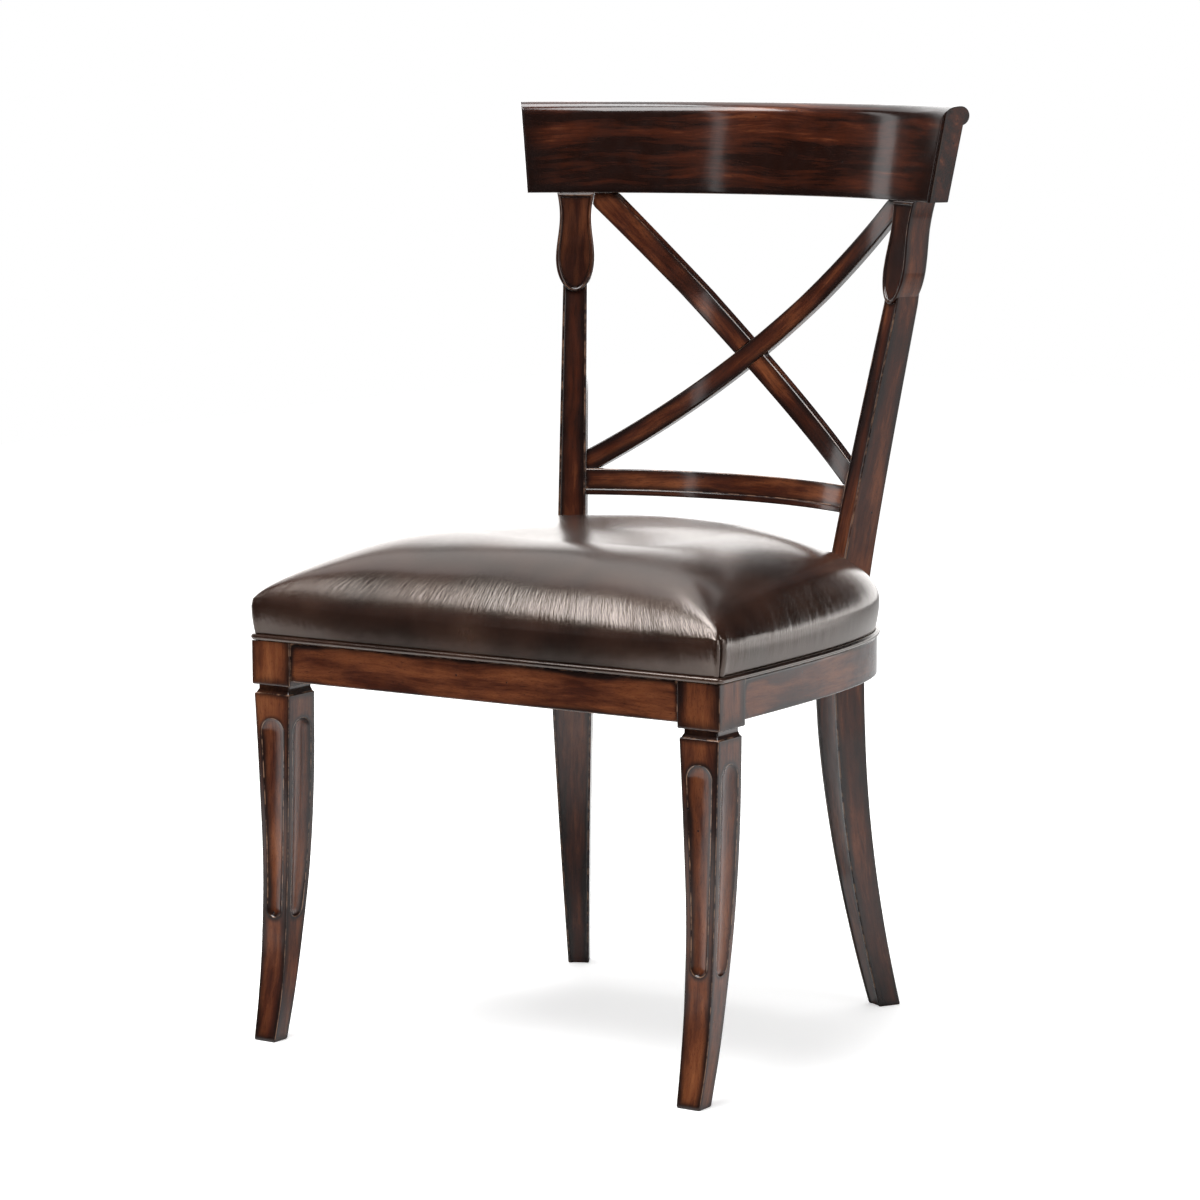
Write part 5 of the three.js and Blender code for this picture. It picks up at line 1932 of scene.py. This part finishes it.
    def notched(self, points: Array) -> Array:
        """Draws the surface in round the two posts.

        A point inside a post's notch moves straight towards the seat's middle until it leaves
        through the notch's front or side, so the wall of the notch closes over the same grid.

        Args:
            points: a grid in the back axis's frame.

        Returns:
            The grid with both notches, and a soft dip in the top beside them.
        """
        back, middle = self.plan.back, self.plan.middle
        result = points.copy()
        for side in Side:
            height = result[..., 2]
            width, _ = self.leg.widths(np.maximum(height, self.leg.rail_top + self.leg.hair))
            half = width / 2 + self.notch_clear
            front = back.radius(height) - self.notch_clear
            x, y = back.seen_from_post(side, result, 0.0)
            middle_x, middle_y = back.seen_from_post(side, middle, 0.0)
            through_front = np.where(y > front, (y - front) / (y - middle_y), np.inf)
            wall = np.where(middle_x < x, -half, half)
            through_side = np.where(np.abs(x) < half, (x - wall) / (x - middle_x), np.inf)
            inside = (np.abs(x) < half) & (y > front)
            share = np.where(inside, np.minimum(through_front, through_side), 0)
            result[..., :2] += (middle - result[..., :2]) * share[..., None]
            beside = np.maximum(np.maximum(np.abs(x) - half, front - y), 0)
            on_top = smooth_step(self.wall_top, self.wall_top + self.notch_dip_rise, height)
            result[..., 2] -= self.notch_dip * bell(beside, self.notch_dip_width) * on_top
        return result

    def blown(self, grid: Array) -> Array:
        """Blows a grid of the cover up as cloth, held at its foot.

        Args:
            grid: rows x columns of points.

        Returns:
            The grid's points after the run.
        """
        cloth_piece = Skin(grid).build("cover_sim")
        rows, columns = grid.shape[:2]
        pinned = cloth_piece.vertex_groups.new(name="foot")
        pinned.add(list(range(2 * columns)) + [rows * columns], 1.0, "REPLACE")
        cloth = cloth_piece.modifiers.new("cloth", "CLOTH")
        cloth.settings.quality = 6
        cloth.settings.mass = 0.35
        cloth.settings.tension_stiffness = 40
        cloth.settings.compression_stiffness = 40
        cloth.settings.shear_stiffness = 20
        cloth.settings.bending_stiffness = 6
        cloth.settings.use_pressure = True
        cloth.settings.uniform_pressure_force = 4
        cloth.settings.vertex_group_mass = "foot"
        cloth.settings.effector_weights.gravity = 0
        cloth.point_cache.frame_start = 1
        cloth.point_cache.frame_end = self.sim_frames
        scene = bpy.context.scene
        for frame in range(1, self.sim_frames + 1):
            scene.frame_set(frame)
        evaluated = cloth_piece.evaluated_get(bpy.context.evaluated_depsgraph_get())
        result = corners_of(evaluated.data)[: rows * columns].reshape(grid.shape)
        bpy.data.objects.remove(cloth_piece)
        scene.frame_set(1)
        return result

    def inflated(self) -> Array | None:
        """Runs the cover as cloth on a coarse grid, and evens, caps and calms its movement.
        """
        coarse = tuple(max(n // 3, 2) for n in self.counts)
        loop, normals = self.plan.loop(self.corner_radius, coarse)
        grid, _ = self.surface(loop, normals, self.drawn_in, self.coarse_rows)
        moved = self.evened(self.blown(grid) - grid, self.coarse_passes)
        far = np.linalg.norm(moved, axis=-1, keepdims=True)
        log.info("leather cover swelled by up to %.1f mm", 1000 * float(far.max()))
        nearness = bell(self.plan.to_corner(loop), self.corner_reach)
        held = (1 - self.corner_hold_share * nearness)[:, None]
        gentle = self.swell_cap / np.maximum(np.hypot(far, self.swell_cap), self.swell_cap)
        moved = self.evened(moved * gentle, self.coarse_passes) * held
        calm = smooth_step(*self.calm_shares, spaced(0, 1, len(grid) - 1))[:, None, None]
        return mix(moved, moved.mean(axis=1, keepdims=True), calm)

    def evened(self, grid: Array, passes: int) -> Array:
        """Each point becomes a mean of itself and its neighbours, 2 : 1 : 1, row by row and round.

        Args:
            grid: rows x columns x 3.
            passes: how often it is done.

        Returns:
            The evened grid.
        """
        for _ in range(passes):
            grid = (2 * grid + np.roll(grid, 1, axis=1) + np.roll(grid, -1, axis=1)) / 4
            inner = (2 * grid[1:-1] + grid[:-2] + grid[2:]) / 4
            grid = np.concatenate([grid[:1], inner, grid[-1:]])
        return grid

    def upsampled(self, coarse: Array, shape: tuple[int, int]) -> Array:
        """Reads a coarse grid at a finer grid's rows and columns, straight between its values.

        Args:
            coarse: rows x columns x 3.
            shape: rows and columns of the finer grid.

        Returns:
            The values on the finer grid.
        """
        closed = np.concatenate([coarse, coarse[:, :1]], axis=1)
        row = spaced(0, closed.shape[0] - 1, shape[0] - 1)
        column = spaced(0, closed.shape[1] - 1, shape[1])[:-1]
        i = np.minimum(row.astype(int), closed.shape[0] - 2)
        j = np.minimum(column.astype(int), closed.shape[1] - 2)
        beside, above = (column - j)[:, None], (row - i)[:, None, None]
        near, far = (mix(closed[k][:, j], closed[k][:, j + 1], beside) for k in (i, i + 1))
        return mix(near, far, above)

    def wrinkled(
        self, points: Array, along: Array, loop: Array, normals: Array
    ) -> tuple[Array, Array]:
        """Adds the corner seams and their swollen lips, puckers over the roll, and a soft drift.

        Args:
            points: the softened surface.
            along: each point's distance along the profile.
            loop: the outline.
            normals: its outward normals.

        Returns:
            The new points, and how creased the leather is at each, from 0 to 1.
        """
        run, full = self.lengths(loop)
        corner = run[self.counts[0] + self.counts[1] // 2] + self.seam_shift
        to_seam = np.minimum(np.abs(run - corner), np.abs(run - full + corner))
        height = points[..., 2]
        fade = 1 - smooth_step(self.seam_height, self.seam_height + self.seam_fade, height)
        lips = self.lip_height * bell(to_seam - self.lip_place, self.lip_width)
        groove = self.seam_depth * bell(to_seam, self.seam_half_width)
        roll = smooth_step(*self.roll_start, along) * (1 - smooth_step(*self.roll_end, along))
        calm_back = 1 - smooth_step(*self.back_calm, loop[:, 1])
        width = self.pucker_width
        lie = stacked(loop[:, 0] / width, loop[:, 1] / width, along / self.pucker_length)
        pucker = waves(lie, 5, 12, 2.2) * mix(self.pucker_back_share, 1.0, calm_back)
        tight = waves(lie, 17, 14, 1.15) * np.abs(normals[:, 0]) * calm_back
        push = (lips - groove) * fade
        push = push + (self.pucker_depth * pucker + self.tight_depth * tight) * roll
        result = points.copy()
        result[..., :2] += normals * push[..., None]
        drift = waves(result[..., :2], 11, 7, self.drift_length)
        result[..., 2] += self.drift_height * drift * smooth_step(*self.drift_levels, height)
        creased = roll * mix(self.crease_back_share, 1.0, calm_back)
        seam = self.crease_seam_share * bell(to_seam, self.crease_seam_width) * fade
        return result, np.clip(creased + seam, 0, 1)

    def lengths(self, loop: Array) -> tuple[Array, float]:
        """Distance along the outline at each of its points, and the outline's whole length."""
        run = run_along(loop)
        return run, run[-1] + float(np.linalg.norm(loop[-1] - loop[0]))

    def underside(self, base: Array, normals: Array) -> Array:
        """The rows under the wall: the flat underside on the board, then the tucked foot.

        Args:
            base: the wall's lowest row.
            normals: the outline's outward normals.

        Returns:
            The rows, from the inmost outwards.
        """
        share = np.array(self.tuck_shares)
        tucks = self.tuck * mix(self.least_tuck_share, 1.0, share)
        drawn = np.concatenate([[self.lid_inset], tucks])[:, None, None]
        flat = base[:, :2] - normals * drawn
        flat = np.concatenate([mix(self.plan.middle, flat[:1], 0.5), flat])
        sag = self.foot_sag * np.sin(share * math.pi)
        level = np.concatenate([[self.board_top] * 2, self.wall_bottom - sag])[:, None]
        rows = self.notched(stacked(flat[..., 0], flat[..., 1], level))
        rows[..., 2] = level
        return rows

    def build(self) -> Piece:
        """Makes the leather seat: swelling, corner seams, creases, notches and the tucked foot.

        Returns:
            The finished padded piece.
        """
        loop, normals = self.plan.loop(self.corner_radius, self.counts)
        moved = self.inflated()
        inset = self.drawn_in if moved is not None else 0.0
        points, along = self.surface(loop, normals, inset, self.fine_rows)
        if moved is not None:
            points = points + self.evened(self.upsampled(moved, points.shape[:2]), self.fine_passes)
        points, creased = self.wrinkled(self.softened(points, loop), along, loop, normals)
        points = self.notched(points)
        under = self.underside(points[0], normals)
        blank = np.zeros(under.shape[:2])
        run, full = self.lengths(loop)
        signed = np.where(run > full / 2, run - full, run)
        shift = np.array([0.0, self.plan.back.axis_y, 0.0])
        skin = Skin(np.concatenate([under, points]) + shift)
        grain = (signed, np.concatenate([blank, along]), 0.0)
        piece = skin.painted("leather_seat", grain, np.concatenate([blank, creased]), 60)
        dressed(piece, self.finish, "leather", "leather_cover", "seat_pad")
        return piece


@dataclass
class Piping:
    """A leather cord round the foot of the seat, in two runs that stop at the posts."""

    plan: SeatPlan
    leg: RearLeg
    finish: Finish
    counts: Counts = (90, 8, 120, 90)
    corner_radius: float = 0.005
    radius: float = 0.003
    proud: float = 0.0024
    height: float = 0.4098
    clear: float = 0.0013
    behind: float = 0.1
    lump_length: float = 0.006
    lump_share: float = 0.02
    tip_length: float = 0.002
    tip_share: float = 0.04
    crease_share: float = 0.25

    def run(self, name: str, node: str, line: Array, out: Array) -> Piece:
        """One run of piping: a circle carried along a stretch of the seat's outline.

        Args:
            name: the piece's name.
            node: the node that the piece stands for.
            line: points of the stretch, in order.
            out: its outward normals.

        Returns:
            The finished piece.
        """
        length = run_along(line)[:, None]
        turn = spaced(0, 2 * math.pi, 16)[:-1]
        lumps = waves(stacked(length / self.lump_length, turn), 3, 6, 2.0)
        ends = np.minimum(np.minimum(length, length[-1] - length) / self.tip_length, 1)
        size = self.radius * (1 + self.lump_share * lumps)
        size = size * np.sqrt(np.clip(1 - (1 - ends) ** 2, self.tip_share, 1))
        flat = line[:, None] + out[:, None] * (size * np.cos(turn))[..., None]
        level = self.height + size * np.sin(turn)
        skin = Skin(stacked(flat[..., 0], flat[..., 1] + self.plan.back.axis_y, level))
        piece = skin.painted(name, (length, turn * self.radius, 0.0), self.crease_share)
        return dressed(piece, self.finish, "leather", node)

    def build(self) -> list[Piece]:
        """Makes the long run round front and sides, and the short one between the posts.

        Returns:
            The two finished pieces.
        """
        path, normals = self.plan.loop(self.corner_radius, self.counts)
        path = path - normals * (self.radius - self.proud)
        width, _ = self.leg.widths(np.array([self.leg.rail_top + self.radius]))
        half = width[0] / 2 + self.clear
        turn = self.plan.back.rear_turn
        across = np.abs(path[:, 0]) * math.cos(turn) - path[:, 1] * math.sin(turn)
        behind = path[:, 1] > self.behind
        from_back = np.roll(np.arange(len(path)), -(len(path) // 2))
        front = from_back[((across > half) | ~behind)[from_back]]
        back = np.flatnonzero((across < -half) & behind)
        return [
            self.run("piping_round_seat", "piping_front", path[front], normals[front]),
            self.run("piping_behind_seat", "piping_back", path[back], normals[back]),
        ]


@dataclass
class DustCover:
    """Black cambric stretched under the seat board, inside the frame."""

    plan: SeatPlan
    finish: Finish
    rail_thickness: float = 0.025
    inset: float = 0.006
    level: float = 0.4062
    thickness: float = 0.0005
    clear: float = 0.0002
    notch_step: float = 0.0001
    sag: float = 0.0002
    sag_length: float = 0.12

    def build(self) -> Piece:
        """Lays the sheet out in rows from front to back, each as wide as the frame allows.

        Returns:
            The finished sheet.
        """
        plan = self.plan
        side, normals = plan.side_curve(spaced(0, 1, 60))
        inner = side - normals * (self.rail_thickness + self.inset)
        front = plan.front + plan.rail_inset + self.rail_thickness + self.inset
        block_back = plan.front + plan.block_depth + plan.gap + self.clear
        between_blocks = plan.half_width - plan.block_width - plan.gap - self.clear
        arc_radius = plan.back.waist_radius - self.inset
        last = min(arc_radius * math.cos(plan.back.rear_turn), float(inner[-1, 1]))
        y = np.concatenate([[front, block_back - self.notch_step], spaced(block_back, last, 40)])
        half = np.interp(y, inner[:, 1], inner[:, 0])
        half[:2] = between_blocks
        x = half[:, None] * spaced(-1, 1, 40)
        y = np.broadcast_to(y[:, None], x.shape)
        arc = np.sqrt(arc_radius**2 - x[-1] ** 2)
        tail_y = mix(y[-1], np.maximum(arc, y[-1]), spaced(0, 1, 8)[1:, None])
        x = np.concatenate([x, np.broadcast_to(x[-1], tail_y.shape)])
        y = np.concatenate([y, tail_y])
        sag = self.sag * waves(stacked(x, y), 21, 6, self.sag_length)
        top = stacked(x, y + plan.back.axis_y, self.level + sag + self.thickness / 2)
        low = top - np.array([0, 0, self.thickness])
        piece = Skin(np.concatenate([top, low[:, ::-1]], axis=1)).build("dust_cover_cloth")
        dressed(piece, self.finish, "cloth", "dust_cover")
        return piece


@dataclass
class Hardware:
    """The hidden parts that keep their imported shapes: board, blocks, dowels and screws."""

    nodes: dict[str, Piece]

    def dress(self, word: str, finish: Finish) -> None:
        """Gives a material to every node whose name holds a word.

        Args:
            word: part of a node name.
            finish: the material.
        """
        for name, node in self.nodes.items():
            if word in name:
                node.data.materials.clear()
                node.data.materials.append(finish)

    def build(self) -> None:
        """Dresses them all."""
        self.dress("seat_board", BareWood("poplar_ply", stretch=(10, 120, 400)).material())
        beech = BareWood("beech", (0.50, 0.31, 0.17), (0.30, 0.165, 0.08)).material()
        self.dress("corner_block", beech)
        self.dress("dowel", beech)
        self.dress("screw", ZincSteel().material())


@dataclass(frozen=True)
class Lamp:
    """A rectangular soft light at a place, facing an aim point."""

    name: str
    place: Triple
    aim: Triple
    size: Pair
    power: float

    def build(self) -> None:
        """Adds the light to the scene."""
        data = bpy.data.lights.new(self.name, "AREA")
        data.shape = "RECTANGLE"
        data.size, data.size_y = self.size
        data.energy = self.power
        lamp = bpy.data.objects.new(self.name, data)
        bpy.context.scene.collection.objects.link(lamp)
        lamp.location = self.place
        way = Vector(self.aim) - Vector(self.place)
        lamp.rotation_euler = way.to_track_quat("-Z", "Y").to_euler()


@dataclass
class Studio:
    """The camera, the floor and the lights.

    Attributes:
        floor_glow: distances from the chair, and how brightly the camera sees the floor at them.
    """

    camera_place: Triple = (2.3634, -3.6499, 1.0309)
    camera_target: Triple = (-0.0082, -0.0483, 0.4396)
    camera_roll: float = -0.16
    camera_reach: float = 60
    lens: float = 128.8
    sensor: float = 36.0
    floor_left: float = -4.5
    floor_right: float = 4.5
    floor_front: float = -1.25
    floor_back: float = 7.0
    floor_grey: float = 0.82
    floor_glow: Numbers = (0.8, 2.6, 0.52, 0.78)
    ambient: float = 0.32
    lean: float = 0.45
    lamps: tuple[Lamp, ...] = (
        Lamp("key_softbox", (-0.42, -1.18, 2.95), (0, 0, 0.7), (2.2, 1.3), 98),
        Lamp("top_softbox", (-0.3, 0.45, 2.9), (-0.3, 0.44, 0.5), (1.2, 1.0), 38),
        Lamp("left_strip", (-3.08, -0.55, 1.5), (0.1, 0.1, 0.8), (0.42, 2.4), 7),
        Lamp("front_strip", (-1.3, -3.9, 2.2), (0, 0.1, 0.8), (0.26, 2.4), 4),
        Lamp("right_panel", (2.05, 2.05, 0.35), (0, 0, 0.3), (2.2, 0.8), 9),
        Lamp("right_fill", (2.5, -0.5, 2.3), (0, 0, 0.5), (1.4, 1.4), 18),
        Lamp("high_back", (-1.6, 1.2, 2.8), (0, 0, 0.8), (2.2, 1.4), 10),
    )

    def camera(self) -> None:
        """Places the camera where the photograph's perspective puts it, with its small roll."""
        data = bpy.data.cameras.new("camera")
        data.lens = self.lens
        data.sensor_width = self.sensor
        data.clip_end = self.camera_reach
        eye = bpy.data.objects.new("camera", data)
        bpy.context.scene.collection.objects.link(eye)
        place = np.array(self.camera_place)
        way = np.array(self.camera_target) - place
        way /= np.linalg.norm(way)
        right = np.cross(way, [0, 0, 1])
        right /= np.linalg.norm(right)
        above = np.cross(right, way)
        roll = math.radians(self.camera_roll)
        turned_right = right * math.cos(roll) + above * math.sin(roll)
        turned_up = above * math.cos(roll) - right * math.sin(roll)
        matrix = np.eye(4)
        matrix[:3] = np.stack([turned_right, turned_up, -way, place], -1)
        eye.matrix_world = Matrix(matrix.tolist())
        bpy.context.scene.camera = eye

    def floor(self) -> None:
        """A plain pale floor that keeps the chair's shadow and looks white to the camera."""
        x = spaced(self.floor_left, self.floor_right, 8)
        y = spaced(self.floor_front, self.floor_back, 8)[:, None]
        index = np.arange(81).reshape(9, 9)
        quads = stacked(index[:-1, :-1], index[:-1, 1:], index[1:, 1:], index[1:, :-1])
        mesh = bpy.data.meshes.new("studio_floor")
        mesh.from_pydata(stacked(x, y, 0.0).reshape(-1, 3), [], quads.reshape(-1, 4).tolist())
        floor = bpy.data.objects.new("studio_floor", mesh)
        bpy.context.scene.collection.objects.link(floor)
        g = Graph(bpy.data.materials.new("studio_floor"))
        far = g.node("VectorMath", {0: g.place()}, operation="LENGTH").outputs["Value"]
        lift = g.node("MapRange", {0: far, **dict(enumerate(self.floor_glow, 1))}).outputs[0]
        seen = g.node("LightPath", {}).outputs["Is Camera Ray"]
        glow = g.node("Emission", {"Strength": g.math("MULTIPLY", seen, lift)})
        pale = g.node("BsdfDiffuse", {"Color": (*[self.floor_grey] * 3, 1)})
        total = g.node("AddShader", {0: pale.outputs[0], 1: glow.outputs[0]})
        mesh.materials.append(g.end("Material", total))

    def world(self) -> None:
        """White to the camera; in reflections white behind the chair and dim before it."""
        world = bpy.data.worlds.new("studio")
        bpy.context.scene.world = world
        world.cycles.sampling_method = "NONE"
        g = Graph(world)
        path = g.node("LightPath", {}).outputs
        way = g.node("TexCoord", {}).outputs["Generated"]
        x, y, z = g.node("SeparateXYZ", {0: way}).outputs
        lean = g.math("MULTIPLY_ADD", x, self.lean, z)
        low_backdrop = g.map_range(lean, 0.12, 0.27, (1.7, 0.0))
        high_backdrop = g.map_range(lean, 0.10, 0.30, (0.3, 0.0))
        right_wall = g.map_range(x, 0.62, 0.84, (0.012, 1.0))
        backdrop = g.math(
            "MULTIPLY_ADD", g.map_range(y, 0.1, 0.55), g.math("ADD", low_backdrop, high_backdrop),
            right_wall,
        )
        gloss = g.math("MAXIMUM", path["Is Glossy Ray"], path["Is Transmission Ray"])
        around = g.node("Mix", {0: gloss, 2: self.ambient, 3: backdrop}).outputs[0]
        level = g.math("MAXIMUM", path["Is Camera Ray"], around)
        g.end("World", g.node("Background", {"Color": (1, 1, 1, 1), "Strength": level}))

    def build(self) -> None:
        """Sets up the whole studio."""
        self.camera()
        self.floor()
        self.world()
        for lamp in self.lamps:
            lamp.build()
        bpy.context.scene.view_settings.view_transform = "Standard"


def main() -> None:
    """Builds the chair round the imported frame, piece by piece, and sets up the studio."""
    logging.basicConfig(level=logging.INFO, format="%(message)s")
    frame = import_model()
    rail_front = SeatPlan.front + SeatPlan.rail_inset
    axis_y = float(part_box("front_seat_rail")[0].y) - rail_front
    log.info("the back axis stands at y = %.4f", axis_y)
    back = BackShape(axis_y)
    plan = SeatPlan(back)
    Studio().build()

    rail_wood = GlazedMahogany("glazed_mahogany_rails", brightness=-0.015, glaze_width=0.006)
    leg_wood = GlazedMahogany("glazed_mahogany_legs", brightness=0.05, shift=5.0)
    back_wood = GlazedMahogany("glazed_mahogany_back", brightness=-0.045, shift=2.0)
    lower_wood = GlazedMahogany("glazed_mahogany_lower_rail", brightness=-0.03, shift=3.0)
    crest_wood = GlazedMahogany(
        "glazed_mahogany_crest", deep=(0.011, 0.0030, 0.0016), body=(0.048, 0.0105, 0.0040),
        glaze=(0.0075, 0.0028, 0.0020), glaze_width=0.012, brightness=-0.135, shift=9.0,
        contrast=1.0, streak_scale=(9, 150, 150), ribbon_scale=(4.5, 52, 52),
    )
    rails, legs, slats, lower, crest = (
        wood.material() for wood in (rail_wood, leg_wood, back_wood, lower_wood, crest_wood)
    )
    leather = EspressoLeather().material()
    cord_leather = EspressoLeather("piping_leather").material()

    pieces: list[Piece] = []
    leg = RearLeg(Side.RIGHT, back, slats)
    for side in Side:
        pieces.append(FrontLeg(side, axis_y, legs).build())
        pieces.append(RearLeg(side, back, slats).build())
    pieces.append(CrestRail(back, crest).build())
    pieces.append(LowerBackRail(back, leg, lower).build())
    pieces.extend(BackSlats(back, leg, slats).build())
    pieces.extend(SeatFrame(plan, leg, rails).build())
    pieces.append(LeatherSeat(plan, leg, leather).build())
    pieces.extend(Piping(plan, leg, cord_leather).build())
    pieces.append(DustCover(plan, Cambric().material()).build())
    Hardware(frame["nodes"]).build()
    for piece in pieces:
        log.info("%s: %d faces", piece.name, len(piece.data.polygons))


if __name__ == "__main__":
    main()
